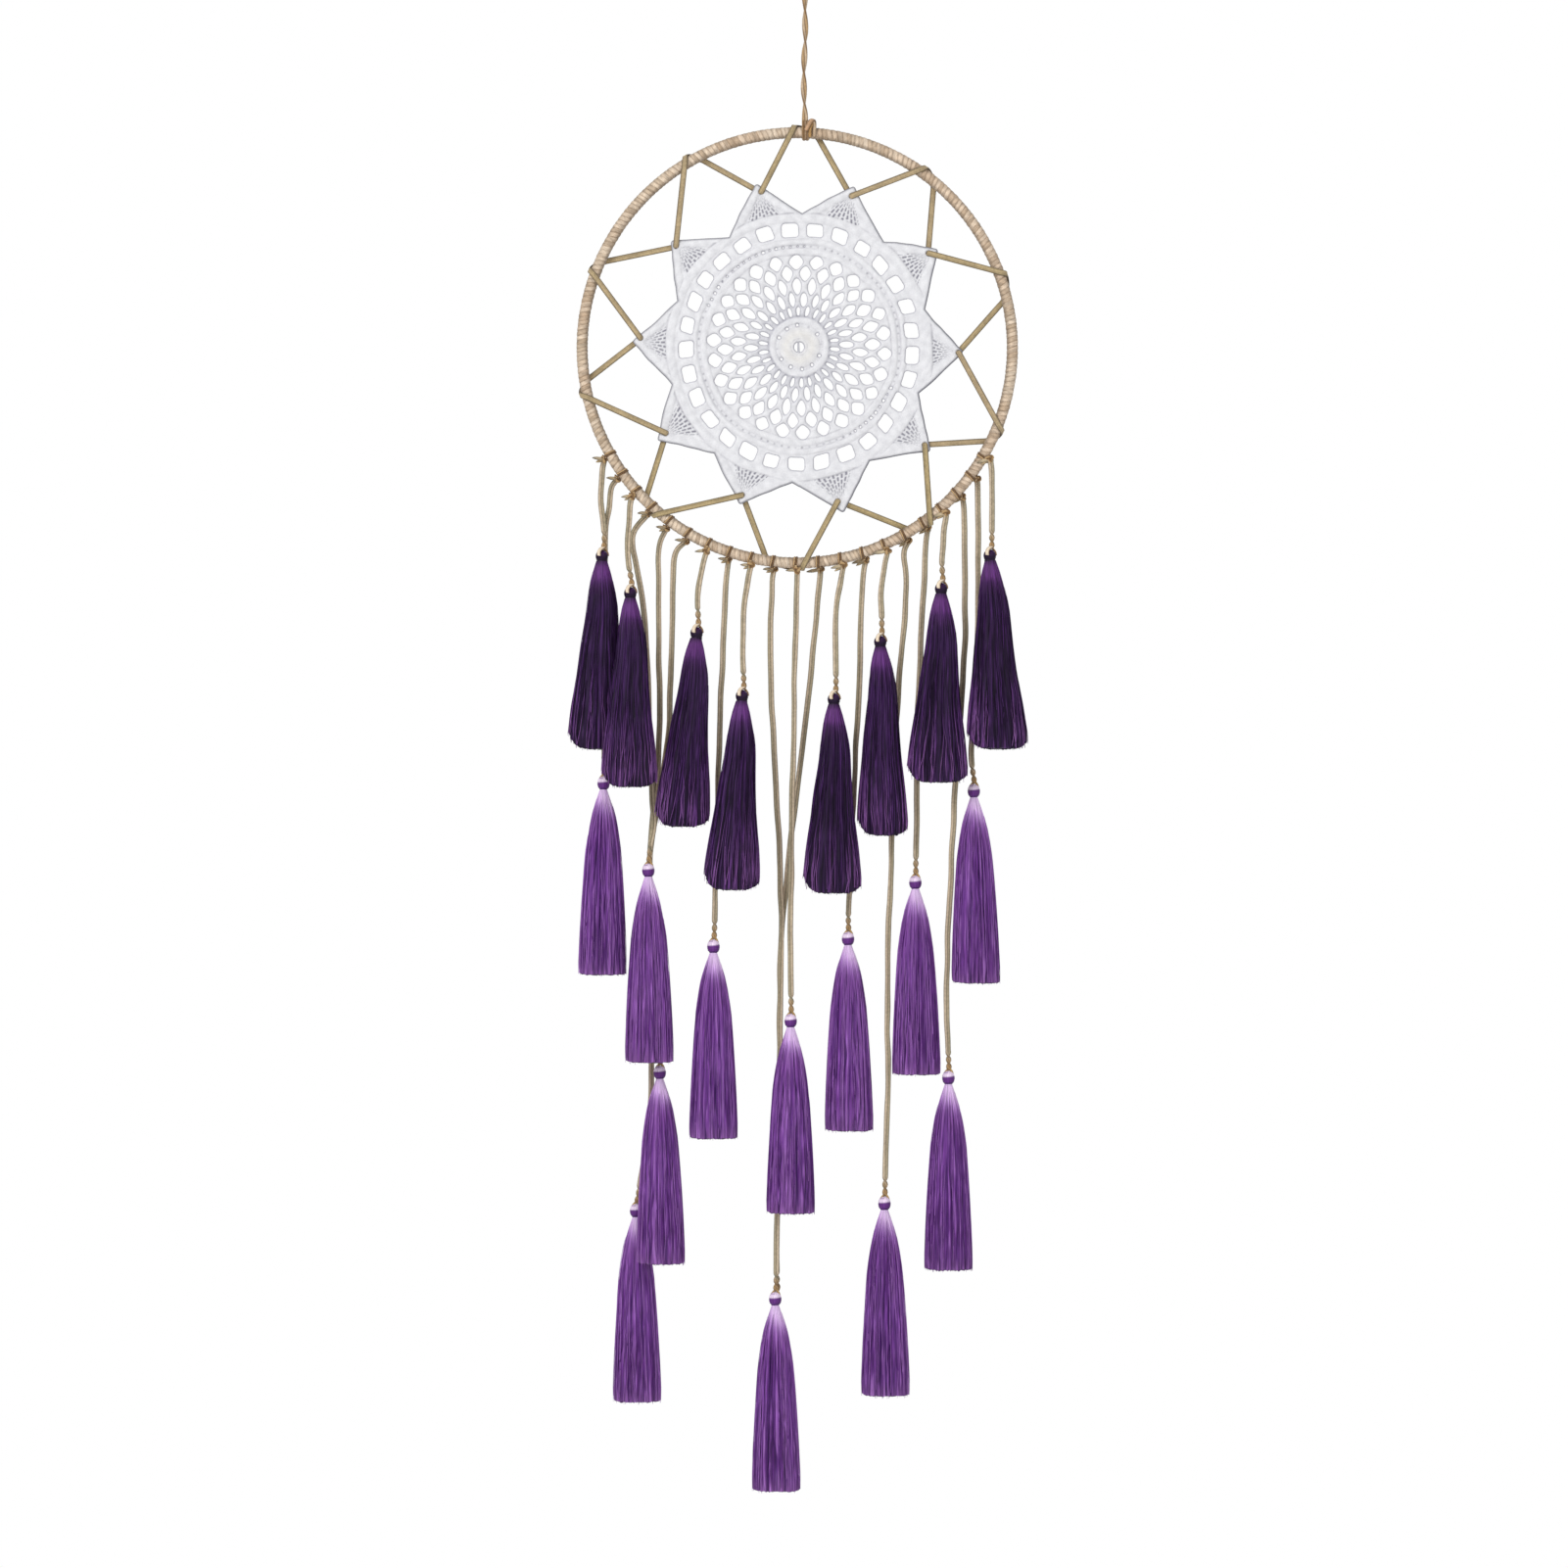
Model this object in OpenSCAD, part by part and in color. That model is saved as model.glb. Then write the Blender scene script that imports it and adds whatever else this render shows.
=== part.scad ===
// Dream catcher: a lace-wrapped hoop with a doily laced into it, hung from a doubled suede cord,
// and a fringe of twenty silk tassels on twenty-one suede strings. All lengths are millimetres.
// +Z is up, the front faces -Y, and the origin is the inside top of the hanging loop.

/* [Hoop] */
// Outside diameter of the wrapped hoop
hoop_outer_d = 200; // [190:1:210]
// Diameter of the steel wire inside the hoop
wire_d = 3; // [2:0.5:4]
// Thickness of the suede lace wound round the wire
wrap_t = 1.1; // [0.8:0.1:1.5]
// How far the hoop's centre lies left of the hanging cord
hoop_shift = 3.5; // [0:0.5:6]
// Depth of the hoop's centre below the origin
hoop_drop = 177.5; // [176:0.5:179]

/* [Hanging cord] */
// Width of the doubled hanging cord
cord_d = 2.7; // [2:0.1:3]
// Width of the single strand in the hanging loop
loop_strand_d = 1.6; // [1.2:0.1:2]
// Diameter of the knot under the hanging loop
loop_knot_d = 5.6; // [5:0.2:6]
// Diameter of the knot on top of the hoop
hoop_knot_d = 6; // [5.4:0.2:6.6]

/* [Doily] */
// Distance from the doily's centre to the ends of its points
tip_r = 76; // [74:0.5:77]
// Distance from the doily's centre to the notches between its points
notch_r = 60; // [59:0.5:61]
// Thickness of the crocheted lace
doily_t = 1.2; // [1:0.1:1.6]
// Thickness of the raised rings
raised_t = 2; // [1.8:0.1:2.4]
// Number of eyelets round the outer band
eyelets = 29; // [24:1:30]
// Width of each eyelet, round the doily
eyelet_w = 7.2; // [5:0.1:7.6]
// Height of each eyelet, along the radius
eyelet_h = 6; // [4.8:0.1:6.4]

/* [Lacing] */
// Width of the flat suede lacing
lace_w = 2.7; // [2:0.1:3]
// Thickness of the flat suede lacing
lace_t = 1.2; // [0.8:0.1:1.4]

/* [String knots] */
// Angle between neighbouring knots round the hoop
knot_step = 6; // [5.5:0.1:6]
// Diameter of each knot's bead
bead_d = 4; // [3.4:0.1:4.2]
// Length of the cut tail on each knot
tail_l = 7; // [4:0.5:8]

/* [Strings] */
// Width of the doubled suede strings
string_d = 2.6; // [2:0.1:2.6]

/* [Tassels] */
// Length of a tassel from the top of its head to its hem
tassel_l = 90; // [85:0.5:90]
// Width of a dark tassel at its hem
dark_hem_w = 27.8; // [24:0.2:28]
// Width of a light tassel at its hem
light_hem_w = 22.6; // [20:0.2:22.6]
// Thickness of a dark tassel against its width
dark_flat = 0.5; // [0.3:0.05:0.5]
// Thickness of a light tassel against its width
light_flat = 0.7; // [0.4:0.05:0.7]

/* [Hidden] */

$fn = 48;
gap = 0.3;                              // Running gap between parts that move against each other

suede = "burlywood";
suede_shade = "peru";
steel = "silver";
cotton = "white";
dark_silk = "indigo";
light_silk = "mediumorchid";

hoop_tube_r = wire_d / 2 + wrap_t;
hoop_r = hoop_outer_d / 2 - hoop_tube_r;
hoop_centre = [-hoop_shift, 0, -hoop_drop];
doily_centre = [-2.5, 0, -177];

// Pivots of the hanging cord: the knot under the loop and the knot on the hoop
loop_knot_z = -16;
hoop_knot_z = -75;

// Half of the hanging loop's route, from the knot to the top, on the right-hand side
loop_side = [[1, 0, -13.4], [3.2, 0, -10.5], [4.8, 0, -7], [5, 0, -4], [4, 0, -1.2], [2.2, 0, 0.4]];
loop_top = [0, 0, 0.8];

// Clockwise angles from the top, round the doily, of its ten points
tip_angle = [-14, 19, 54, 92, 128, 166, 201, 237, 273, 309];
// Clockwise angles from the top, round the hoop, where the lacing's ten turns start and end
turn_angle = [[-1.5, 5], [34.5, 39.5], [69.5, 76.5], [111, 115.5], [142, 148],
    [178, 188], [219.5, 225], [256.5, 261], [289.5, 293.5], [328.5, 332.5]];
tips = len(tip_angle);
tip_blunt = 1.8;                        // Half the angle across a point's blunt end
tip_hole_inset = 3.5;                   // From a point's end to the hole that the lacing goes through
tip_hole_r = 1.7;
lace_lift = 1.6;                        // How far in front of or behind the doily a strand ends

// Rows of diamond openings in the doily's lattice: distance from the centre, and half the height
lattice_rows = [[38.6, 3.2], [33.4, 3.4], [27.4, 3.3], [21.3, 3.1]];
lattice_per_row = 26;
lattice_turn = 2.1;                     // Anticlockwise turn of the lattice and of the eyelets
eyelet_turn = 4.8;
eyelet_r = 52.3;
lattice_strand = 0.6;                   // Half the width of a lattice strand

// Knots: how far each bead hangs outside the hoop's own centre line
knots = 21;
bead_offset = 3.4;
knot_band_w = 2.6;
knot_band_t = 1;
tail_d = 1.9;                           // Width of a cut tail where it leaves its bead
tail_end_d = 1.2;

// Strings 1 to 21: the knot that each hangs from, and how far behind the hoop's middle it leaves
string_knot = [1, 3, 7, 9, 13, 15, 18, 21, 2, 4, 8, 11, 14, 17, 20, 5, 19, 6, 16, 10, 12];
exit_y = [2, -3, -3, -3, -3, -3, -3, -3, 3, 3, 3, -3, 3, 3, 3, 3, 3, 3, 3, 3, 3];

// Tassels 1 to 20: top of the head
head = [[-92, 2, -269], [-79, -5, -286], [-49, -6.5, -304], [-28.5, -8.5, -332.5],
    [13, -8.5, -334], [34, -6.5, -308], [61.5, -6.5, -284], [83.5, -6.5, -269],
    [-91.5, 11.5, -371.5], [-71, 3, -411], [-41.5, 3, -445.5], [-6.5, -3, -479],
    [19.5, 3, -442], [50, 3, -416.5], [76.5, 3, -375], [-66, 12.5, -503],
    [65, 3, -505], [-77, 23.5, -566.5], [36, 3, -562], [-13.5, 6.5, -605.5]];
// Tassels 1 to 20: how far the middle of the hem lies to the right of the head and behind it
hem_shift = [[-2, 0], [-0.5, -5], [-7, 0.5], [-5, -3.5], [-1, -3], [1, 0], [-2, 0], [3.5, 0],
    [-0.5, 0], [0.5, 0], [0, 0], [0, 0], [0.5, 0], [0.5, 0], [1, 0], [0.5, 0],
    [0, 0], [0.5, 0], [0.5, 0], [0.5, 0]];
// Tassels 1 to 20: width against the standard width of that colour
fullness = [1, 0.92, 0.9, 0.92, 0.96, 0.82, 1, 1, 1, 1, 1, 1, 1, 1, 1, 1, 1, 1, 1, 1];
dark_tassels = 8;
tassels = len(head);

// Strings 1 to 21: the points between the knot and the tassel
route = [
    [[-92, 2, -234], [-92.5, 2, -244], [-91.5, 2, -256], [-91, 2, -263]],
    [[-79.5, -3.5, -252], [-80, -4, -270]],
    [[-46.5, -4, -277], [-48.5, -5, -290]],
    [[-26, -4, -284], [-28, -5, -300]],
    [[16, -4, -284], [14, -5, -298]],
    [[36, -4, -277], [34.5, -5, -290]],
    [[63, -4.5, -260], [62, -5.5, -272]],
    [[84.5, -4.5, -236], [84.5, -5.5, -250]],
    [[-88, 3.5, -241], [-89, 4, -250], [-90.6, 6.5, -262], [-91, 9, -300], [-91.3, 11.3, -345]],
    [[-77, 3, -260], [-78, 3, -267], [-76.5, 3, -276], [-73.5, 3, -293], [-71.5, 3, -320],
        [-69.5, 3, -377], [-68.5, 3, -392], [-70, 3, -402]],
    [[-35.5, 3, -282], [-37, 3, -310], [-38.5, 3, -345], [-40, 3, -400], [-41, 3, -432]],
    [[-4, -3, -290], [-5, -3, -340], [-6, -3, -400], [-6.5, -3, -450]],
    [[26.5, 3, -280], [25.5, 3, -300], [24.5, 3, -330], [22, 3, -380], [20, 3, -430]],
    [[55, 3, -266], [54, 3, -285], [52, 3, -320], [51, 3, -352], [50.5, 3, -395]],
    [[78.5, 3, -246], [78.5, 3, -290], [77, 3, -335], [75.5, 3, -360]],
    [[-66, 3, -268], [-66.5, 3.5, -285], [-66, 5, -330], [-66, 6, -352], [-67, 6.8, -370],
        [-69, 8, -392], [-70.5, 9, -411], [-70.5, 10, -430], [-68, 12, -470]],
    [[72, 3, -252], [72.5, 3, -275], [72.5, 3, -310], [71, 3, -335], [68, 3, -380], [66, 3, -420],
        [64.5, 3, -455], [64.5, 3, -490]],
    [[-59, 3.5, -271], [-60, 4.5, -286], [-61, 7.5, -330], [-62, 9, -352], [-66, 11, -380],
        [-69, 12, -398], [-71, 13, -415], [-71, 14.5, -450], [-70, 16, -490], [-70, 17.5, -515],
        [-73, 20.5, -545]],
    [[45, 3, -271], [46, 3, -286], [43, 3, -325], [40.5, 3, -365], [39, 3, -410], [37.5, 3, -460],
        [37.5, 3, -510], [36.5, 3, -545]],
    [[-15, 3, -286], [-15.5, 3.5, -310], [-15, 4, -340], [-13, 4.5, -380], [-11, 5, -420],
        [-11, 6, -480], [-12, 6.5, -540], [-13, 6.5, -585]],
    [[6.5, 3, -286], [5.5, 3.5, -296], [1, 4.5, -340], [-4.5, 6, -385], [-8.5, 7.5, -421],
        [-11, 8.9, -450], [-11.5, 9.2, -490], [-12, 9.5, -540], [-13, 9.5, -585]]];

// Skirt stations: depth below the top of the head, and width against the hem's width
dark_skirt = [[6, 0.215], [12, 0.335], [24, 0.485], [44, 0.63], [65, 0.83], [86, 1], [90, 0.97]];
light_skirt = [[6, 0.215], [9, 0.255], [14, 0.39], [22, 0.56], [30, 0.665], [44, 0.78], [69, 0.91], [90, 0.97]];
dark_head_d = 6;
light_head_d = 5.5;
neck_top = 5;
neck_bottom = 9.4;
skirt_sides = 16;
tube_sides = 8;

function unit(v) = v / norm(v);
// A point at a distance and a clockwise angle from the top, in the plane of the hoop
function clock(r, angle) = [r * sin(angle), 0, r * cos(angle)];
function clock_2d(r, angle) = [r * sin(angle), r * cos(angle)];
// Knots are numbered from the left; the middle one is straight down
function knot_angle(k) = 180 - (k - (knots + 1) / 2) * knot_step;
function bead_centre(k, y) = hoop_centre + clock(hoop_r + bead_offset, knot_angle(k)) + [0, y, 0];
// Cut tails point left; on the hoop's left half they also lean away from their string's swing
function tail_way(k, y) = k < 12 ? unit([-0.8, y > 0 ? -0.6 : 0.6, 0.1]) : unit([-0.985, 0, -0.17]);
function is_dark(n) = n <= dark_tassels;

// A ring of points across a tube, and the direction of its centre line at one point of its route
function tangent(path, i) = unit(path[min(i + 1, len(path) - 1)] - path[max(i - 1, 0)]);
function tube_ring(centre, t, r) = let (side = unit(cross([0, 1, 0], t)), up = cross(side, t))
    [for (j = [0 : tube_sides - 1])
        centre + r * (cos(360 * j / tube_sides) * side + sin(360 * j / tube_sides) * up)];
// Flat loop of points at one station of a skirt
function skirt_ring(centre, half_w, half_t) =
    [for (j = [0 : skirt_sides - 1])
        centre + [half_w * cos(360 * j / skirt_sides), half_t * sin(360 * j / skirt_sides), 0]];

// The quads between neighbouring rings, and a lid at each end
function side_faces(rings, n) = [for (i = [0 : rings - 2]) for (j = [0 : n - 1])
    [i * n + j, i * n + (j + 1) % n, (i + 1) * n + (j + 1) % n, (i + 1) * n + j]];
function lid_faces(rings, n) =
    [[for (j = [n - 1 : -1 : 0]) j], [for (j = [0 : n - 1]) (rings - 1) * n + j]];
function loft_faces(rings, n) = concat(side_faces(rings, n), lid_faces(rings, n));

// The whole centre line of a string: it starts just clear of its knot's bead
function string_path(s) =
    let (bead = bead_centre(string_knot[s - 1], exit_y[s - 1]),
        first = route[s - 1][0],
        start = bead + (bead_d / 2 + gap) * unit(first - bead),
        last = s <= tassels ? head[s - 1] : head[tassels - 1] + [0, string_d + gap, 0])
    concat([start], route[s - 1], [last + [0, 0, gap / 2]]);

// Round tube along a route
module tube(path, d) {
    points = [for (i = [0 : len(path) - 1]) each tube_ring(path[i], tangent(path, i), d / 2)];
    polyhedron(points, loft_faces(len(path), tube_sides));
}

// Ring of lace round the hoop's tube, at a clockwise angle from the top of the hoop
module band_round_hoop(angle, w, t) {
    translate(hoop_centre + clock(hoop_r, angle)) rotate([0, angle, 0]) rotate([0, 90, 0])
        rotate_extrude() translate([hoop_tube_r, -w / 2]) square([t, w]);
}

// Flat strand of lacing between two points in or near the hoop's plane
module strand(from, to) {
    along = to - from;
    span = norm(along);
    turn = atan2(along[0], along[2]);
    lean = asin(-along[1] / span);
    translate(from) rotate([0, turn, 0]) rotate([lean, 0, 0])
        translate([-lace_w / 2, -lace_t / 2, 0]) cube([lace_w, lace_t, span]);
}

module hanging_loop() {
    left = [for (i = [len(loop_side) - 1 : -1 : 0]) [-loop_side[i][0], 0, loop_side[i][2]]];
    color(suede) tube(concat(loop_side, [loop_top], left), loop_strand_d);
}

module loop_knot() {
    color(suede_shade) translate([0, 0, loop_knot_z]) sphere(d = loop_knot_d);
}

module hanging_cord() {
    top = loop_knot_z - loop_knot_d / 2 - gap;
    bottom = hoop_knot_z + hoop_knot_d / 2 + gap;
    path = [[0, 0, top], [0, 0, -28], [0.2, 0, -36], [-0.2, 0, -44], [-0.5, 0, -52], [-0.5, 0, -60],
        [-0.2, 0, -66], [0, 0, bottom]];
    color(suede) tube(path, cord_d);
}

// The cord's knot on top of the hoop, with its turns round the hoop
module hoop_knot() {
    color(suede_shade) {
        translate([0, 0, hoop_knot_z]) sphere(d = hoop_knot_d);
        band_round_hoop(asin(hoop_shift / hoop_r), 3.4, 1.2);
    }
}

module hoop_ring() {
    color(steel) translate(hoop_centre) rotate([90, 0, 0])
        rotate_extrude() translate([hoop_r, 0]) circle(d = wire_d);
}

module hoop_wrap() {
    color(suede) translate(hoop_centre) rotate([90, 0, 0]) rotate_extrude() translate([hoop_r, 0])
        difference() {
            circle(r = hoop_tube_r);
            circle(d = wire_d);
        }
}

// The lacing's turns round the hoop, two bands to a turn
module lacing_wraps() {
    color(suede_shade) for (pair = turn_angle) for (angle = pair)
        band_round_hoop(angle, lace_w, lace_t);
}

// The lacing's twenty straight strands, each from a turn on the hoop to a point of the doily
module web_lacing() {
    inner_r = hoop_r - hoop_tube_r - lace_t;
    color(suede) for (i = [0 : tips - 1]) {
        hole = doily_centre + clock(tip_r - tip_hole_inset, tip_angle[i]);
        after = hoop_centre + clock(inner_r, turn_angle[i][0]);
        before = hoop_centre + clock(inner_r, turn_angle[(i + tips - 1) % tips][1]);
        strand(after, hole - [0, lace_lift, 0]);
        strand(before, hole + [0, lace_lift, 0]);
    }
}

// Outline of the ten-pointed doily
module doily_outline() {
    points = [for (i = [0 : tips - 1])
        let (next = i + 1 < tips ? tip_angle[i + 1] : tip_angle[0] + 360,
            notch = (tip_angle[i] + next) / 2)
        each [clock_2d(tip_r, tip_angle[i] - tip_blunt), clock_2d(tip_r, tip_angle[i] + tip_blunt),
            clock_2d(notch_r, notch - 0.8), clock_2d(notch_r, notch + 0.8)]];
    polygon(points);
}

// Fan of slits in each point, and the hole near its end for the lacing
module point_openings() {
    for (angle = tip_angle) rotate(-angle) {
        translate([0, tip_r - tip_hole_inset]) circle(r = tip_hole_r, $fn = 8);
        for (j = [-3 : 3]) translate([0, tip_r - 4]) rotate(j * 11)
            translate([-0.4, -11 - abs(j) * 0.2]) square([0.8, 4.6]);
    }
}

module eyelet_openings() {
    for (i = [0 : eyelets - 1]) rotate(eyelet_turn + 360 * i / eyelets)
        translate([-eyelet_w / 2, eyelet_r - eyelet_h / 2]) square([eyelet_w, eyelet_h]);
}

module lattice_openings() {
    for (row = [0 : len(lattice_rows) - 1]) {
        r = lattice_rows[row][0];
        half_h = lattice_rows[row][1];
        half_w = PI * r / lattice_per_row - lattice_strand - 0.4;
        for (i = [0 : lattice_per_row - 1])
            rotate(lattice_turn + 360 * (i + row / 2) / lattice_per_row)
            translate([0, r]) polygon([[0, half_h], [half_w, 0], [0, -half_h], [-half_w, 0]]);
    }
}

module rosette_openings() {
    for (i = [0 : 11]) rotate(30 * i) translate([-0.6, 9.4]) square(1.2);
    for (x = [-1.3, 0.3]) translate([x, -1.4]) square([1, 2.8]);
}

module flat_ring(outer_r, inner_r) {
    difference() {
        circle(r = outer_r);
        circle(r = inner_r);
    }
}

// The crocheted doily: one flat piece with raised rings
module doily() {
    color(cotton) translate(doily_centre) rotate([90, 0, 0]) {
        linear_extrude(doily_t, center = true) difference() {
            doily_outline();
            point_openings();
            eyelet_openings();
            lattice_openings();
            rosette_openings();
        }
        linear_extrude(raised_t, center = true) flat_ring(47.5, 46);
        linear_extrude(raised_t, center = true) flat_ring(44, 42.6);
        linear_extrude(raised_t, center = true) flat_ring(14.2, 11.8);
    }
}

// One string knot: a band round the hoop, a bead and a cut tail to the lower left
module string_knot_piece(k, y) {
    way = tail_way(k, y);
    band_round_hoop(knot_angle(k), knot_band_w, knot_band_t);
    translate(bead_centre(k, y)) {
        sphere(d = bead_d);
        rotate([0, acos(way[2]), atan2(way[1], way[0])])
            cylinder(d1 = tail_d, d2 = tail_end_d, h = tail_l);
    }
}

module string_knots() {
    color(suede_shade) for (s = [0 : len(string_knot) - 1])
        string_knot_piece(string_knot[s], exit_y[s]);
}

module string(s) {
    color(suede) tube(string_path(s), string_d);
}

// Skirt of silk strands, leaning with its hem
module skirt(n) {
    stations = is_dark(n) ? dark_skirt : light_skirt;
    hem_w = is_dark(n) ? dark_hem_w : light_hem_w;
    flat = is_dark(n) ? dark_flat : light_flat;
    shift = [hem_shift[n - 1][0], hem_shift[n - 1][1], 0];
    rings = [for (s = stations)
        let (depth = s[0] * tassel_l / 90,
            half_w = s[1] * hem_w * (1 - (1 - fullness[n - 1]) * s[0] / 90) / 2)
        skirt_ring(head[n - 1] - [0, 0, depth] + shift * s[0] / 90, half_w,
            half_w * (flat + (1 - flat) * pow(1 - s[0] / 90, 2)))];
    points = [for (ring = rings) each ring];
    polyhedron(points, loft_faces(len(rings), skirt_sides));
}

// A tassel: the head, the thread bound round its neck, and the skirt below
module tassel(n) {
    head_d = is_dark(n) ? dark_head_d : light_head_d;
    color(is_dark(n) ? dark_silk : light_silk) {
        translate(head[n - 1] - [0, 0, head_d / 2]) sphere(d = head_d);
        translate(head[n - 1] - [0, 0, neck_bottom])
            cylinder(d = head_d * 0.84, h = neck_bottom - neck_top);
        skirt(n);
    }
}

hanging_loop();
loop_knot();
hanging_cord();
hoop_knot();
hoop_ring();
hoop_wrap();
lacing_wraps();
web_lacing();
doily();
string_knots();
string(1);  // string_01
string(2);  // string_02
string(3);  // string_03
string(4);  // string_04
string(5);  // string_05
string(6);  // string_06
string(7);  // string_07
string(8);  // string_08
string(9);  // string_09
string(10);  // string_10
string(11);  // string_11
string(12);  // string_12
string(13);  // string_13
string(14);  // string_14
string(15);  // string_15
string(16);  // string_16
string(17);  // string_17
string(18);  // string_18
string(19);  // string_19
string(20);  // string_20
string(21);  // string_21
tassel(1);  // tassel_01
tassel(2);  // tassel_02
tassel(3);  // tassel_03
tassel(4);  // tassel_04
tassel(5);  // tassel_05
tassel(6);  // tassel_06
tassel(7);  // tassel_07
tassel(8);  // tassel_08
tassel(9);  // tassel_09
tassel(10);  // tassel_10
tassel(11);  // tassel_11
tassel(12);  // tassel_12
tassel(13);  // tassel_13
tassel(14);  // tassel_14
tassel(15);  // tassel_15
tassel(16);  // tassel_16
tassel(17);  // tassel_17
tassel(18);  // tassel_18
tassel(19);  // tassel_19
tassel(20);  // tassel_20
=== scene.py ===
import math

import bpy
import numpy as np
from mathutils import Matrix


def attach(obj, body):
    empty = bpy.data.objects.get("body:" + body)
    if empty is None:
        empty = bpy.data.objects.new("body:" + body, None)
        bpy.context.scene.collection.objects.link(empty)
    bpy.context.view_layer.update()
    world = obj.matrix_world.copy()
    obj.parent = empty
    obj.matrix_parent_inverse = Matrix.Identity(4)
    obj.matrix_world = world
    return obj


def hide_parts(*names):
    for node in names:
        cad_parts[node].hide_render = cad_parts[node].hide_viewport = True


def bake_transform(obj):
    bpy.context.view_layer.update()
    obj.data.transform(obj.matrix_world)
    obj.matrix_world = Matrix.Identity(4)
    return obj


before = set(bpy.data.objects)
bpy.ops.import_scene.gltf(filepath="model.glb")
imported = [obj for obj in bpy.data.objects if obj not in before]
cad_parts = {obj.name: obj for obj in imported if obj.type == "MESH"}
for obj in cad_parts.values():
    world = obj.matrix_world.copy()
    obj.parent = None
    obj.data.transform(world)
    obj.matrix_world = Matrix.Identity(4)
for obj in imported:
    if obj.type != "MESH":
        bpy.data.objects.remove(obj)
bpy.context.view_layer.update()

MM = 0.001


# ---- small tools

def rgb(r, g, b):
    """Linear colour of an 8-bit sRGB one."""
    out = []
    for c in (r, g, b):
        c /= 255
        out.append(c / 12.92 if c <= 0.04045 else ((c + 0.055) / 1.055) ** 2.4)
    return np.array(out)


def unit(v):
    v = np.asarray(v, float)
    return v / np.maximum(np.linalg.norm(v, axis=-1, keepdims=True), 1e-9)


def clock(r, angle):
    """A point at a distance and a clockwise angle in degrees from the top, in the hoop's plane."""
    a = np.radians(angle)
    return np.stack([r * np.sin(a), 0 * r * a, r * np.cos(a)], -1)


def resample(points, step):
    """Smooth curve through the points (Catmull-Rom), at an even spacing in millimetres."""
    p = np.asarray(points, float)
    p = np.vstack([2 * p[0] - p[1], p, 2 * p[-1] - p[-2]])
    fine = []
    for i in range(1, len(p) - 2):
        t = np.linspace(0, 1, 16, endpoint=False)[:, None]
        a, b, c, d = p[i - 1], p[i], p[i + 1], p[i + 2]
        fine.append(0.5 * (2 * b + (c - a) * t + (2 * a - 5 * b + 4 * c - d) * t ** 2
                           + (3 * b - a - 3 * c + d) * t ** 3))
    fine = np.vstack(fine + [p[-2][None]])
    run = np.concatenate([[0], np.cumsum(np.linalg.norm(np.diff(fine[:, :3], axis=0), axis=1))])
    n = max(2, int(round(run[-1] / step)) + 1)
    at = np.linspace(0, run[-1], n)
    return np.stack([np.interp(at, run, fine[:, k]) for k in range(p.shape[1])], axis=1)


def length_of(points):
    return float(np.linalg.norm(np.diff(points, axis=0), axis=1).sum())


def smooth_noise(rng, n, knots):
    """n values of slow random wander between -1 and 1."""
    k = rng.uniform(-1, 1, knots + 3)
    x = np.linspace(1, knots + 0.999, n)
    i = x.astype(int)
    t = x - i
    t = t * t * (3 - 2 * t)
    return k[i] * (1 - t) + k[i + 1] * t


def mix(a, b, k):
    """Blend from colour a to colour b by k, 0 to 1, at each point."""
    k = np.clip(k, 0, 1)[..., None]
    return a * (1 - k) + b * k


def wanders(rng, n, knots, count):
    """Slow random wanders side by side, one in each column."""
    return np.stack([smooth_noise(rng, n, knots) for _ in range(count)], 1)


def clip01(v):
    return np.clip(v, 0, 1)


class Shell:
    """Collects points, faces and colours of one piece."""

    def __init__(self):
        self.points, self.quads, self.triangles, self.colours, self.lays = [], [], [], [], []
        self.count = 0

    def add(self, v, q, c, lay, t=()):
        """Points, quads, colours, places for the material's noise, and triangles."""
        v = v.reshape(-1, 3)
        self.points.append(v)
        self.quads.append(q.reshape(-1, 4) + self.count)
        self.triangles.append(np.asarray(t, int).reshape(-1, 3) + self.count)
        self.colours.append(c.reshape(-1, 3))
        self.lays.append(lay.reshape(-1, 3))
        self.count += len(v)

    def build(self, name, material, body, replaces=()):
        v = np.vstack(self.points) * MM
        q = np.vstack(self.quads)
        t = np.vstack(self.triangles)
        me = bpy.data.meshes.new(name)
        me.vertices.add(len(v))
        me.vertices.foreach_set("co", v.astype(np.float32).ravel())
        loops = np.concatenate([q.ravel(), t.ravel()]).astype(np.int32)
        start = np.concatenate([np.arange(len(q)) * 4, len(q) * 4 + np.arange(len(t)) * 3])
        me.loops.add(len(loops))
        me.loops.foreach_set("vertex_index", loops)
        me.polygons.add(len(q) + len(t))
        me.polygons.foreach_set("loop_start", start.astype(np.int32))
        me.update(calc_edges=True)
        me.validate()
        me.shade_smooth()
        c = np.hstack([np.vstack(self.colours), np.ones((len(v), 1))]).astype(np.float32)
        me.attributes.new("Col", "FLOAT_COLOR", "POINT").data.foreach_set("color", c.ravel())
        lay = np.vstack(self.lays).astype(np.float32)
        me.attributes.new("Lay", "FLOAT_VECTOR", "POINT").data.foreach_set("vector", lay.ravel())
        me.materials.append(material)
        obj = bpy.data.objects.new(name, me)
        bpy.context.scene.collection.objects.link(obj)
        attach(obj, body)
        if replaces:
            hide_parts(*replaces)
        return obj


def ring_quads(rings, m, wrap=False):
    """Quads between neighbouring rings of m points."""
    i = np.arange(rings if wrap else rings - 1)[:, None]
    j = np.arange(m)[None, :]
    here, below, right = i * m, (i + 1) % rings * m, (j + 1) % m
    return np.stack([here + j, here + right, below + right, below + j], -1).reshape(-1, 4)


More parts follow.
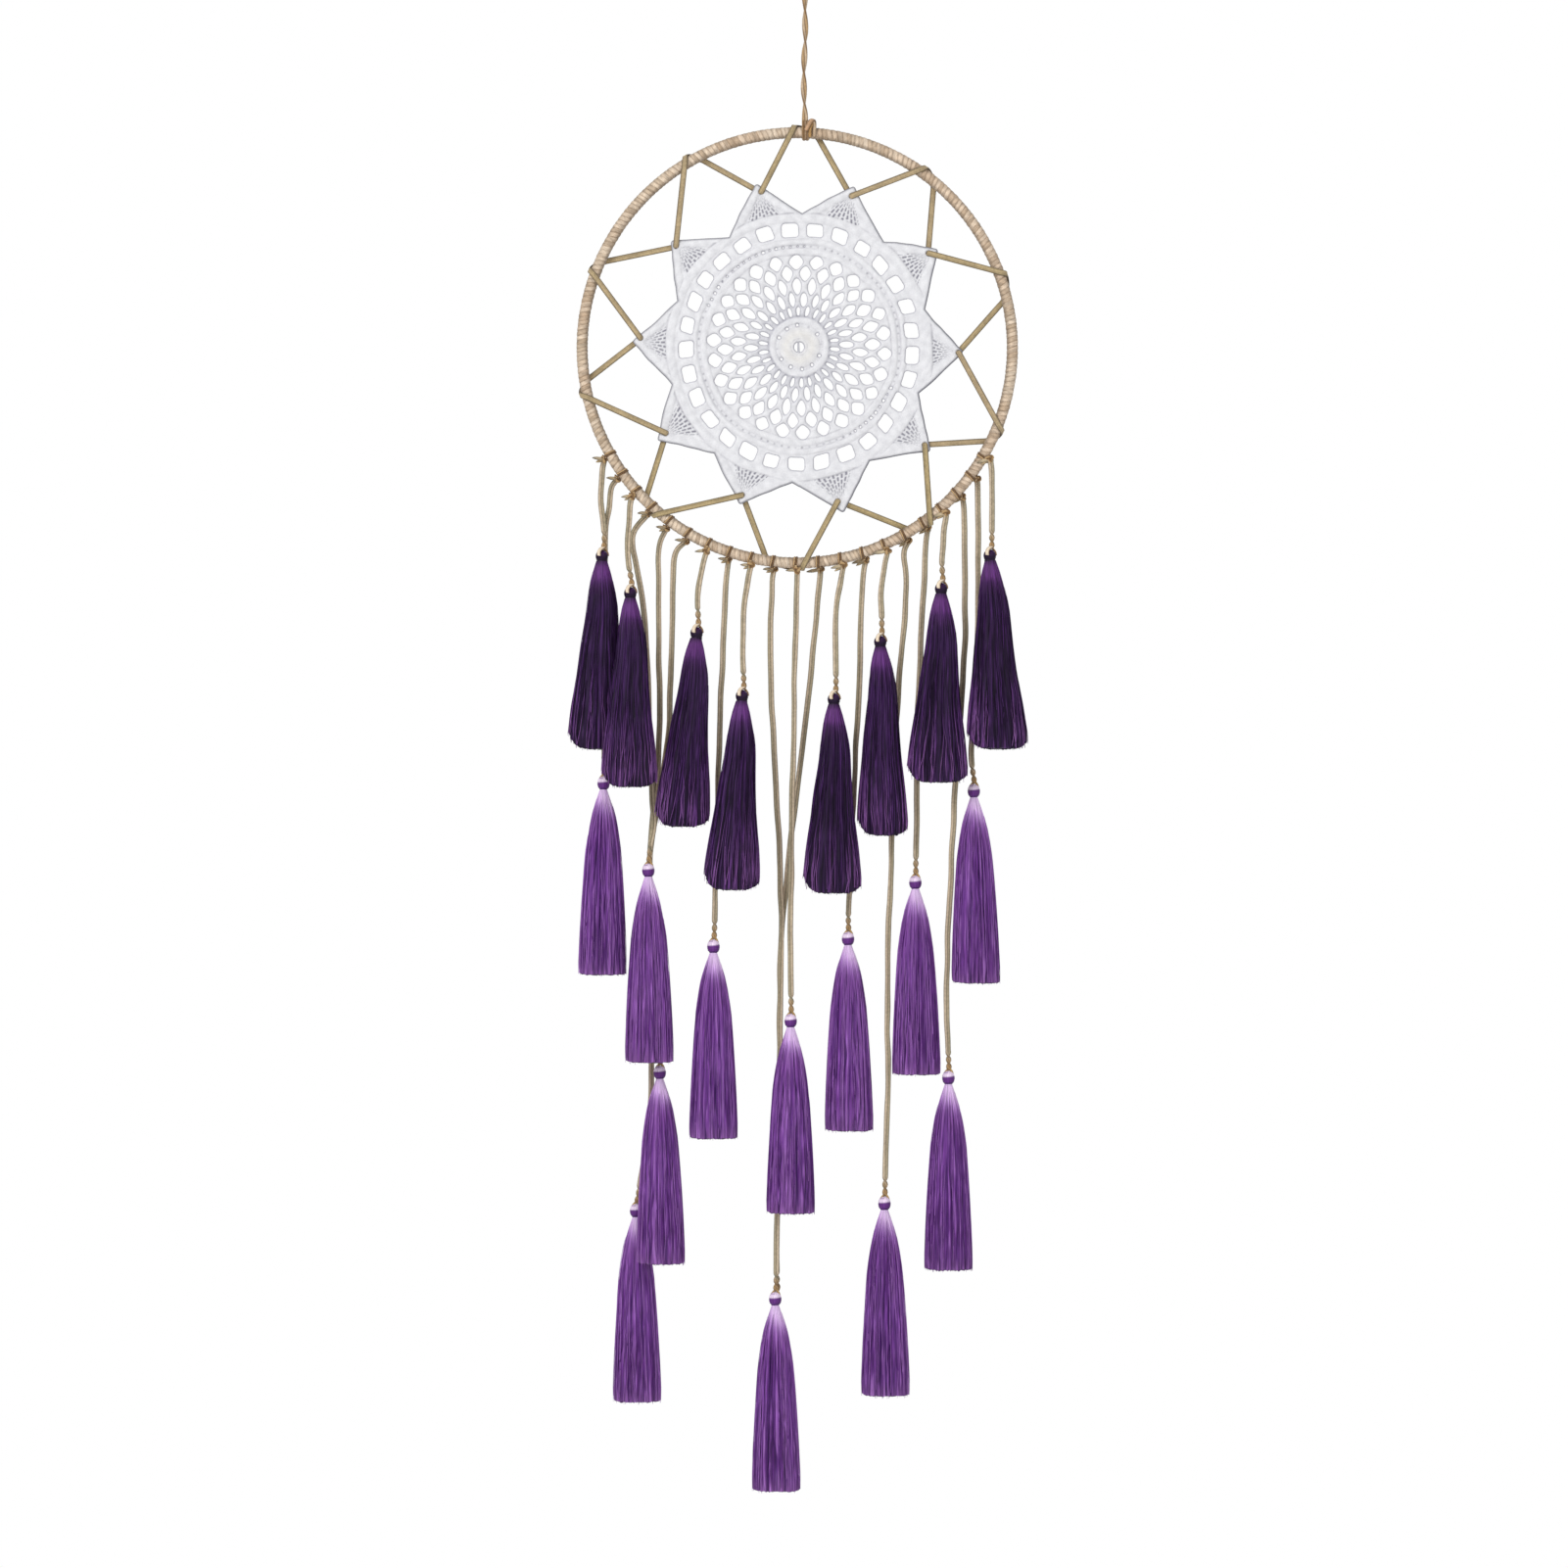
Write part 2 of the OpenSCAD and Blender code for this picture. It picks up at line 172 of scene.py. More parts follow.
def sweep(shell, path, normal, section, paint, scale=None, closed=False):
    """Carry a section along a path, its second axis along the normal; paint gives the colour from the place
    along, 0 to 1, and the place across, -1 to 1."""
    n, m = len(path), len(section)
    tan = unit(np.roll(path, -1, 0) - np.roll(path, 1, 0) if closed else np.gradient(path, axis=0))
    normal = np.broadcast_to(normal, (n, 3))
    up = unit(normal - tan * (normal * tan).sum(1, keepdims=True))
    side = np.cross(tan, up)
    k = np.ones((n, 1)) if scale is None else scale.reshape(n, -1)
    wide, thick = section[:, 0] * k[:, :1], section[:, 1] * k[:, -1:]
    v = path[:, None] + side[:, None] * wide[..., None] + up[:, None] * thick[..., None]
    q = ring_quads(n, m, closed)[:, ::-1]
    along = np.concatenate([[0], np.cumsum(np.linalg.norm(np.diff(path, axis=0), axis=1))])
    side_of = section[:, 0] / np.abs(section[:, 0]).max()
    col = paint(*np.broadcast_arrays(along[:, None] / along[-1], side_of[None]))
    lay = np.stack(np.broadcast_arrays(section[:, 0], along[:, None], section[:, 1]), -1) + path[0]
    v, col, lay = v.reshape(-1, 3), col.reshape(-1, 3), lay.reshape(-1, 3)
    t = []
    if not closed:
        j = np.arange(m)
        v = np.vstack([v, path[0], path[-1]])
        col = np.vstack([col, col[0], col[-1]])
        lay = np.vstack([lay, lay[0], lay[-1]])
        last = (n - 1) * m
        t = np.vstack([np.stack([(j + 1) % m, np.full(m, n * m), j], -1),
                       np.stack([last + j, np.full(m, n * m + 1), last + (j + 1) % m], -1)])
    shell.add(v, q, col, lay, t)


def lace_section(width, thick, m=10, square=0.85):
    """Flattened round outline of m points; the lower the exponent square, the squarer it is."""
    a = 2 * np.pi * np.arange(m) / m
    c, s = np.cos(a), np.sin(a)
    return np.stack([width / 2 * np.sign(c) * np.abs(c) ** square,
                     thick / 2 * np.sign(s) * np.abs(s) ** square], -1)


# ---- materials

def plain_material(name, **sockets):
    m = bpy.data.materials.new(name)
    m.use_nodes = True
    inputs = m.node_tree.nodes["Principled BSDF"].inputs
    for key, value in sockets.items():
        inputs[key.replace("_", " ")].default_value = value
    return m


def node_material(name, bump, bump_scale, mottle, mottle_scale, stretch=(1, 1, 1), **sockets):
    """Colour from the piece's own painted points, mottled by noise, with a fine noise bump."""
    m = plain_material(name, **sockets)
    surface = m.node_tree.nodes["Principled BSDF"]

    def add(kind, **values):
        node = m.node_tree.nodes.new("ShaderNode" + kind)
        for key, value in values.items():
            node.inputs[key.replace("_", " ")].default_value = value
        return node

    def link(node, output, other, socket):
        m.node_tree.links.new(node.outputs[output], other.inputs[socket])

    colour, where = add("Attribute"), add("Attribute")
    colour.attribute_name = "Col"
    where.attribute_name = "Lay"
    place = add("Mapping", Scale=stretch)
    link(where, "Vector", place, "Vector")
    blotches = add("TexNoise", Scale=mottle_scale, Detail=4)
    link(place, "Vector", blotches, "Vector")
    level = add("MapRange", From_Min=0.3, From_Max=0.7, To_Min=1 - mottle, To_Max=1 + mottle)
    link(blotches, "Fac", level, "Value")
    shaded = add("VectorMath")
    shaded.operation = "SCALE"
    link(colour, "Color", shaded, 0)
    link(level, "Result", shaded, "Scale")
    link(shaded, "Vector", surface, "Base Color")
    nap = add("TexNoise", Scale=bump_scale, Detail=3)
    link(place, "Vector", nap, "Vector")
    relief = add("Bump", Strength=bump, Distance=0.0002)
    link(nap, "Fac", relief, "Height")
    link(relief, "Normal", surface, "Normal")
    return m


NAP = {"Sheen_Weight": 0.15, "Sheen_Roughness": 0.6}
STRANDS = {"bump": 0.35, "bump_scale": 5, "mottle_scale": 2.6, "stretch": (1, 0.05, 1)}
suede = node_material("suede_lace", bump=0.5, bump_scale=3.2, mottle=0.16, mottle_scale=0.9,
                      Roughness=0.85, **NAP)
suede_wrap = node_material("suede_wrap", bump=0.6, bump_scale=3, mottle=0.3, mottle_scale=0.75,
                           Roughness=0.8, **NAP)
cotton = node_material("cotton_lace", bump=0.45, bump_scale=2.4, mottle=0.05, mottle_scale=1.6, Roughness=0.9)
silk = node_material("silk", mottle=0.36, Roughness=0.38, Specular_IOR_Level=0.24, **STRANDS)
silk_dark = node_material("silk_dark", mottle=0.5, Roughness=0.42, Specular_IOR_Level=0.18, **STRANDS)
steel = plain_material("steel_wire", Metallic=1, Roughness=0.4)
floor_paint = plain_material("floor_paint", Base_Color=(0.92, 0.92, 0.92, 1), Roughness=1,
                             Specular_IOR_Level=0)

BEIGE = rgb(206, 182, 152)
BEIGE_EDGE = rgb(120, 106, 82)
GOLD = rgb(176, 138, 84)
GOLD_DARK = rgb(112, 78, 40)
GREEN_EDGE = rgb(112, 112, 92)
# beige of a doubled lace's strand in painted shade
SHADED_BEIGE = rgb(190, 158, 116)
TAIL_EDGE = rgb(104, 98, 84)


def lace_colour(base, edge, power, streak=0.0, seed=0, side_shade=0.0, line=0.0):
    """Lace colour: the base along the middle, the edge colour at both edges, slowly wandering. The darker
    edges are partly the suede's cut edges and partly painted shade where the round lace turns away; the
    second to last argument paints one side lighter than the other as painted light and shade, and line paints
    shade in a darker crease along the middle."""
    def paint(t, u):
        # painted shade at both edges and in the middle crease; painted light and shade across, one side
        # lighter
        w = np.abs(u) ** power
        w = np.maximum(w, line * np.exp(-((u - 0.1) / 0.16) ** 2))
        k = 1 + streak * np.sin(t * 37 + seed) * np.sin(t * 13.7 + 2 * seed) + side_shade * u
        return mix(base, edge, w) * k[..., None]
    return paint


# ---- camera, floor and light

VIEW_W = 0.710
VIEW_X = -0.0095
VIEW_Z = -0.375
VIEW_AWAY = 3.2
FILM_W = 36
camera = bpy.data.objects.new("camera", bpy.data.cameras.new("camera"))
camera.data.sensor_width = FILM_W
camera.data.lens = FILM_W * VIEW_AWAY / VIEW_W
camera.data.clip_end = 50
camera.location = (VIEW_X, -VIEW_AWAY, VIEW_Z)
camera.rotation_euler = (math.radians(90), 0, 0)
bpy.context.scene.collection.objects.link(camera)
bpy.context.scene.camera = camera

# the world is seen white and lights less strongly
world = bpy.data.worlds.new("studio")
world.use_nodes = True
sky = world.node_tree.nodes["Background"]
sky.inputs["Color"].default_value = (1, 1, 1, 1)
seen = world.node_tree.nodes.new("ShaderNodeLightPath")
level = world.node_tree.nodes.new("ShaderNodeMapRange")
level.inputs["To Min"].default_value = 0.55
level.inputs["To Max"].default_value = 1.0
world.node_tree.links.new(seen.outputs["Is Camera Ray"], level.inputs["Value"])
world.node_tree.links.new(level.outputs["Result"], sky.inputs["Strength"])
bpy.context.scene.world = world
bpy.context.scene.view_settings.view_transform = "Standard"


def area_light(name, place, size, watts):
    """Square lamp that faces the middle of the object."""
    data = bpy.data.lights.new(name, "AREA")
    data.size = size
    data.energy = watts
    light = bpy.data.objects.new(name, data)
    light.location = place
    x, y, z = np.array((0, 0, -0.35)) - place
    light.rotation_euler = (math.atan2(math.hypot(x, y), -z), 0, math.atan2(y, x) - math.pi / 2)
    bpy.context.scene.collection.objects.link(light)


area_light("key", (-1.3, -1.9, 0.9), 0.9, 28)
area_light("fill", (1.6, -2.0, 0.1), 1.4, 8)
area_light("back", (0.6, 2.2, 0.8), 1.2, 12)

FLOOR_Z = -0.95
FLOOR_SIDE = 7
FLOOR_FRONT = -9
FLOOR_BACK = 1.8
floor_mesh = bpy.data.meshes.new("floor")
floor_mesh.from_pydata([(-FLOOR_SIDE, FLOOR_FRONT, FLOOR_Z), (FLOOR_SIDE, FLOOR_FRONT, FLOOR_Z),
                        (FLOOR_SIDE, FLOOR_BACK, FLOOR_Z), (-FLOOR_SIDE, FLOOR_BACK, FLOOR_Z)],
                       [], [(0, 1, 2, 3)])
floor_mesh.materials.append(floor_paint)
floor = bpy.data.objects.new("floor", floor_mesh)
bpy.context.scene.collection.objects.link(floor)

# ---- places in millimetres, as in the CAD; TIPS and TURNS are clockwise angles from the top

HOOP_TUBE_R = 2.6
HOOP_R = 97.4
HOOP = np.array([-3.5, 0, -177.5])
DOILY = np.array([-2.5, 0, -177.0])
TIPS = [-14, 19, 54, 92, 128, 166, 201, 237, 273, 309]
TURNS = [(-1.5, 5), (34.5, 39.5), (69.5, 76.5), (111, 115.5), (142, 148),
         (178, 188), (219.5, 225), (256.5, 261), (289.5, 293.5), (328.5, 332.5)]
LACE_HOLE_R = 72.0
KNOT_STEP = 6
BEAD_OFFSET = 3.4
# each string's knot, counted from the left, and where it leaves the hoop: in front (negative) or behind
STRING_KNOT = [1, 3, 7, 9, 13, 15, 18, 21, 2, 4, 8, 11, 14, 17, 20, 5, 19, 6, 16, 10, 12]
EXIT_Y = [2, -3, -3, -3, -3, -3, -3, -3, 3, 3, 3, -3, 3, 3, 3, 3, 3, 3, 3, 3, 3]
# top of each tassel's head, how far its hem hangs off to the right and back, and how full it is at the hem
HEAD = [(-92, 2, -269), (-79, -5, -286), (-49, -6.5, -304), (-28.5, -8.5, -332.5),
        (13, -8.5, -334), (34, -6.5, -308), (61.5, -6.5, -284), (83.5, -6.5, -269),
        (-91.5, 11.5, -371.5), (-71, 3, -411), (-41.5, 3, -445.5), (-6.5, -3, -479),
        (19.5, 3, -442), (50, 3, -416.5), (76.5, 3, -375), (-66, 12.5, -503),
        (65, 3, -505), (-77, 23.5, -566.5), (36, 3, -562), (-13.5, 6.5, -605.5)]
HEM_SHIFT = [(-2, 0), (-0.5, -5), (-7, 0.5), (-5, -3.5), (-1, -3), (1, 0), (-2, 0), (3.5, 0),
             (-0.5, 0), (0.5, 0), (0, 0), (0, 0), (0.5, 0), (0.5, 0), (1, 0), (0.5, 0),
             (0, 0), (0.5, 0), (0.5, 0), (0.5, 0)]
FULLNESS = [1, 0.92, 0.9, 0.92, 0.96, 0.82, 1, 1] + [1] * 12
# each string between its knot and its head
ROUTE = [
    [(-92, 2, -234), (-92.5, 2, -244), (-91.5, 2, -256), (-91, 2, -263)],
    [(-79.5, -3.5, -252), (-80, -4, -270)],
    [(-46.5, -4, -277), (-48.5, -5, -290)],
    [(-26, -4, -284), (-28, -5, -300)],
    [(16, -4, -284), (14, -5, -298)],
    [(36, -4, -277), (34.5, -5, -290)],
    [(63, -4.5, -260), (62, -5.5, -272)],
    [(84.5, -4.5, -236), (84.5, -5.5, -250)],
    [(-88, 3.5, -241), (-89, 4, -250), (-90.6, 6.5, -262), (-91, 9, -300), (-91.3, 11.3, -345)],
    [(-77, 3, -260), (-78, 3, -267), (-76.5, 3, -276), (-73.5, 3, -293), (-71.5, 3, -320),
     (-69.5, 3, -377), (-68.5, 3, -392), (-70, 3, -402)],
    [(-35.5, 3, -282), (-37, 3, -310), (-38.5, 3, -345), (-40, 3, -400), (-41, 3, -432)],
    [(-4, -3, -290), (-5, -3, -340), (-6, -3, -400), (-6.5, -3, -450)],
    [(26.5, 3, -280), (25.5, 3, -300), (24.5, 3, -330), (22, 3, -380), (20, 3, -430)],
    [(55, 3, -266), (54, 3, -285), (52, 3, -320), (51, 3, -352), (50.5, 3, -395)],
    [(78.5, 3, -246), (78.5, 3, -290), (77, 3, -335), (75.5, 3, -360)],
    [(-66, 3, -268), (-66.5, 3.5, -285), (-66, 5, -330), (-66, 6, -352), (-67, 6.8, -370),
     (-69, 8, -392), (-70.5, 9, -411), (-70.5, 10, -430), (-68, 12, -470)],
    [(72, 3, -252), (72.5, 3, -275), (72.5, 3, -310), (71, 3, -335), (68, 3, -380), (66, 3, -420),
     (64.5, 3, -455), (64.5, 3, -490)],
    [(-59, 3.5, -271), (-60, 4.5, -286), (-61, 7.5, -330), (-62, 9, -352), (-66, 11, -380),
     (-69, 12, -398), (-71, 13, -415), (-71, 14.5, -450), (-70, 16, -490), (-70, 17.5, -515),
     (-73, 20.5, -545)],
    [(45, 3, -271), (46, 3, -286), (43, 3, -325), (40.5, 3, -365), (39, 3, -410), (37.5, 3, -460),
     (37.5, 3, -510), (36.5, 3, -545)],
    [(-15, 3, -286), (-15.5, 3.5, -310), (-15, 4, -340), (-13, 4.5, -380), (-11, 5, -420),
     (-11, 6, -480), (-12, 6.5, -540), (-13, 6.5, -585)],
    [(6.5, 3, -286), (5.5, 3.5, -296), (1, 4.5, -340), (-4.5, 6, -385), (-8.5, 7.5, -421),
     (-11, 8.9, -450), (-11.5, 9.2, -490), (-12, 9.5, -540), (-13, 9.5, -585)]]
TASSELS = 20
DARK = 8
TASSEL_L = 90
# the sections of the laces: width, thickness, corners and squareness
STRING_SECTION = lace_section(1.42, 1.15, 8, 0.9)
CORD_SECTION = lace_section(1.45, 1.1)
LOOP_SECTION = lace_section(1.6, 1.3)
WIRE_SECTION = lace_section(2.9, 2.9, 12, 1)
LACING_SECTION = lace_section(2.65, 1.05, 22, 0.8)
FRONT = np.array([0, -1.0, 0])


def knot_angle(k):
    return 180 - (k - 11) * KNOT_STEP


def bead_centre(k, y):
    return HOOP + clock(HOOP_R + BEAD_OFFSET, knot_angle(k)) + np.array([0, y, 0])


# ---- cords

def two_strands(shell, path, roll, gap, section, colours, scale=None):
    """Two laces side by side along a centreline, the pair rolled about it by an angle at each point."""
    tan = unit(np.gradient(path, axis=0))
    up = unit(FRONT - tan * (tan @ FRONT)[:, None])
    side = np.cross(tan, up)
    c, s = np.cos(roll)[:, None], np.sin(roll)[:, None]
    across = side * c + up * s
    normal = up * c - side * s
    for sign, colour in zip((-1, 1), colours):
        sweep(shell, path + across * (sign * gap / 2), normal, section, colour, scale)


def string_piece(s):
    """Doubled string from its knot on the hoop to its tassel's head, golden and twisted at the lower end."""
    twisted_l, golden_l, wander_l, sway_l = 8.5, 9, 23, 12
    rng = np.random.default_rng(100 + s)
    bead = bead_centre(STRING_KNOT[s - 1], EXIT_Y[s - 1])
    into_head = [1.2, 2.9, 0.4] if s > TASSELS else [0.9 if s <= DARK else 0.3, 0, 0.3]
    end = np.array(HEAD[min(s, TASSELS) - 1]) + into_head
    path = resample([bead] + ROUTE[s - 1] + [end], 0.75)
    n = len(path)
    run = np.linspace(0, length_of(path), n)
    left = run[-1] - run
    twist = clip01((twisted_l - left) / twisted_l)
    roll = 0.55 * smooth_noise(rng, n, max(3, int(run[-1] / wander_l))) * (1 - twist) + twist * 2.5 * np.pi
    sway = 0.25 * smooth_noise(rng, n, max(4, int(run[-1] / sway_l)))
    path[:, 0] += sway * clip01(np.minimum(run, left) / 6)
    golden = 0.8 * clip01((golden_l - left) / 6)

    def paint(base, edge):
        def colour_at(t, u):
            w = np.abs(u) ** 2.6
            gold = np.interp(t, run / run[-1], golden)
            colour = mix(mix(base, edge, w), mix(GOLD, GOLD_DARK, w), gold)
            return colour * (1 + 0.06 * np.sin(t * 60 + s))[..., None]
        return colour_at

    # painted light and shade: one strand lit, the other painted in shade with grey-green edges; both have
    # edges painted darker, partly the cut edges' own colour
    colours = (paint(rgb(205, 186, 160), BEIGE_EDGE), paint(rgb(176, 160, 132), GREEN_EDGE))
    if rng.random() < 0.5:
        colours = colours[::-1]
    shell = Shell()
    two_strands(shell, path, roll, 1.22, STRING_SECTION, colours)
    body = "drop_%02d" % min(s, TASSELS)
    obj = shell.build("string_%02d_lace" % s, suede, body, ["string_%02d" % s])


def hanging_cord_piece():
    """Two strands from the loop's knot down into the knot on the hoop, bending where the hoop tilts."""
    shell = Shell()
    route = [(0, 0, -17.6), (0, 0, -28), (0.2, 0, -36), (-0.2, 0, -44), (-0.5, 0, -52), (-0.5, 0, -60),
             (-0.3, 0, -66), (-0.1, -0.1, -70), (0, -0.7, -72.8), (0, -1.9, -75), (0, -2.7, -76.6)]
    path = resample(route, 0.6)
    roll = np.interp(path[:, 2], [-74, -19], [4 * np.pi, 0.3])
    scale = np.interp(path[:, 2], [-76.6, -74.6], [0.7, 1])
    # painted light and shade: the cord's two strands, one lit beige and one in painted shade
    two_strands(shell, path, roll, 1.35, CORD_SECTION,
                (lace_colour(BEIGE, GOLD_DARK, 2.4), lace_colour(SHADED_BEIGE, GOLD_DARK, 2.4)), scale)
    obj = shell.build("hanging_cord_lace", suede, "cord", ["hanging_cord"])
    obj.parent = None
    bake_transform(obj)


def hanging_loop_piece():
    shell = Shell()
    side = [(1, 0, -13.4), (3.2, 0, -10.5), (4.8, 0, -7), (5, 0, -4), (4, 0, -1.2), (2.2, 0, 0.4)]
    route = side + [(0, 0, 0.8)] + [(-x, y, z) for x, y, z in side[::-1]]
    path = resample(route, 0.8)
    sweep(shell, path, FRONT, LOOP_SECTION, lace_colour(BEIGE, GOLD_DARK, 2.4))
    obj = shell.build("hanging_loop_lace", suede, "hanger", ["hanging_loop"])


def overhand(shell, centre, size, r, turn, colour):
    """A pulled-tight overhand knot: one closed trefoil of lace, turned about X, Y and Z."""
    t = np.linspace(0, 2 * np.pi, 72, endpoint=False)
    p = np.stack([np.sin(t) + 2 * np.sin(2 * t), -1.28 * np.sin(3 * t), np.cos(t) - 2 * np.cos(2 * t)], -1)
    p = p / 3.0 * size
    for (i, j), a in zip(((1, 2), (0, 2), (0, 1)), turn):
        c, s = math.cos(a), math.sin(a)
        p[:, i], p[:, j] = p[:, i] * c - p[:, j] * s, p[:, i] * s + p[:, j] * c
    sweep(shell, p + centre, unit(p), lace_section(2 * r, 1.5 * r, 10, 0.9), colour, closed=True)


def loop_knot_piece():
    shell = Shell()
    overhand(shell, np.array([0, 0, -16.0]), 1.9, 0.95, (0.3, 0.4, 0.2),
             lace_colour(GOLD * 1.1, GOLD_DARK, 2))
    shell.build("loop_knot_lace", suede, "hanger", ["loop_knot"])


for number in range(1, len(ROUTE) + 1):
    string_piece(number)
hanging_cord_piece()
hanging_loop_piece()
loop_knot_piece()


# ---- hoop

def tube_point(angle, turn, r=3.12):
    """On the hoop's tube: turn 0 faces the viewer, 90 is the outer side, 180 the back, 270 the inner side."""
    t = np.radians(turn)
    away = clock(1.0, angle) * np.sin(t) + FRONT * np.cos(t)
    return HOOP + clock(HOOP_R, angle) + away * r, away


def helix(a0, a1, turn0, turn1, r, n=40):
    """Path round the hoop's tube and its outward directions."""
    places = np.linspace((a0, turn0), (a1, turn1), n)
    return np.array([tube_point(a, turn, r) for a, turn in places]).transpose(1, 0, 2)


def hoop_ring_piece():
    shell = Shell()
    path = HOOP + clock(HOOP_R, np.linspace(0, 360, 240, endpoint=False))
    sweep(shell, path, FRONT, WIRE_SECTION, lace_colour(BEIGE, BEIGE, 1), closed=True)
    shell.build("hoop_wire", steel, "hoop", ["hoop_ring"])


def hoop_wrap_piece():
    """Lace wound closely round the wire: slanting turns, each one a little different."""
    rng = np.random.default_rng(7)
    turns, per_turn, m = 290, 7, 20
    n = turns * per_turn
    a = np.arange(n)[:, None] * 360.0 / n
    angle = np.radians(a)
    w = 2 * np.pi * np.arange(m)[None] / m
    phase = turns * a / 360 + w / np.pi + 0.22 * np.sin(angle * 17 + 1) + 0.16 * np.sin(angle * 41 + 2)
    index = np.floor(phase).astype(int) % turns
    inside = phase - np.floor(phase)
    lean = rng.uniform(0.35, 0.65, turns)[index]
    dome = np.where(inside < lean, inside / lean, (1 - inside) / (1 - lean))
    dome = np.sin(dome * np.pi / 2) ** 0.6
    under_r = 2.36
    r = under_r + rng.uniform(0.16, 0.28, turns)[index] * dome
    v = HOOP + clock(HOOP_R + r * np.cos(w), a) - FRONT * (r * np.sin(w))[..., None]
    col = mix(rgb(226, 207, 184), rgb(184, 162, 136), rng.uniform(0, 1, turns)[index])
    col = mix(col, rgb(214, 178, 148), 0.2 * (0.5 + 0.5 * np.sin(angle * 9 + 3 * np.sin(angle * 4))))
    # painted shade in the seams between the turns, deeper for some turns than others
    col = mix(col, rgb(118, 88, 58), (1 - clip01(dome * 1.35)) * rng.uniform(0.45, 1, turns)[index])
    # painted shade on the hoop's inner side, and less on its outer side
    inner_shade = clip01(-np.cos(w) * 1.3 - 0.35)
    outer_shade = clip01(np.cos(w) * 1.3 - 0.65)
    col = mix(col, rgb(104, 84, 62), 0.72 * inner_shade + 0.5 * outer_shade)
    shell = Shell()
    lay = np.stack(np.broadcast_arrays(w, angle * HOOP_R, 0.0), -1)
    shell.add(v, ring_quads(n, m, True)[:, ::-1], col, lay)
    shell.build("hoop_wrap_lace", suede_wrap, "hoop", ["hoop_wrap"])


def lacing_piece():
    """One long flat lace: through a hole near each point, round the hoop between the points."""
    shell = Shell()
    section = LACING_SECTION.copy()
    crease = 0.16 * np.maximum(0, 1 - np.abs(section[:, 0]) / 0.7)
    section[:, 1] -= np.copysign(crease, section[:, 1])
    for i, (a0, a1) in enumerate(TURNS):
        hole = DOILY + clock(LACE_HOLE_R, TIPS[i])
        next_hole = DOILY + clock(LACE_HOLE_R, TIPS[(i + 1) % len(TIPS)])
        top0, top1 = HOOP + clock(HOOP_R, a0), HOOP + clock(HOOP_R, a1)
        toward, away = unit(top0 - hole), unit(top1 - next_hole)
        drift = (toward @ clock(1.0, a0 + 90)) / (toward @ clock(1.0, a0))
        slant = math.degrees(drift * HOOP_TUBE_R / HOOP_R)
        outward = [(hole - toward * 0.6, 0.3), (hole + toward * 0.5, -1.35), (hole + toward * 3.5, -1.85),
                   ((hole + top0) / 2, -2.4), (top0 - toward * 6, -3.0), (top0 - toward * 2.4, -3.2)]
        points = [(place + [0, y, 0], FRONT) for place, y in outward]
        points[0] = (points[0][0], unit(FRONT - toward))
        for turn in (12, 38, 64, 90):
            points.append(tube_point(a0 + slant * math.sin(math.radians(turn)), turn))
        for turn, k in ((115, 0.15), (140, 0.4), (165, 0.65), (190, 0.95)):
            points.append(tube_point((a0 + slant) * (1 - k) + a1 * k, turn))
        inward = [(top1 - away * 2.4, 3.1), (top1 - away * 6, 2.8), ((next_hole + top1) / 2, 2.2),
                  (next_hole + away * 3.5, 1.6), (next_hole + away * 0.3, 1.3)]
        points += [(place + [0, y, 0], -FRONT) for place, y in inward]
        points.append((next_hole + [0, 0.2, 0] - away * 0.6, -away))
        both = resample([np.concatenate(p) for p in points], 0.75)
        path, normal = both[:, :3], both[:, 3:]
        rng = np.random.default_rng(40 + i)
        roll = 0.16 * smooth_noise(rng, len(both), 9)[:, None]
        normal = normal + np.cross(unit(np.gradient(path, axis=0)), normal) * roll
        centre = mix(rgb(190, 168, 134), rgb(180, 160, 104), 0.6 * rng.uniform(0, 1))
        # edges painted darker, partly the cut edges' colour and partly shade; painted shade along the crease;
        # one side painted lighter, alternating by stretch
        sweep(shell, path, normal, section,
              lace_colour(centre, rgb(78, 64, 44), 2.2, 0.1, i, 0.1 if i % 2 else -0.1, 0.45))
    shell.build("lacing_lace", suede, "hoop", ["web_lacing", "lacing_wraps"])


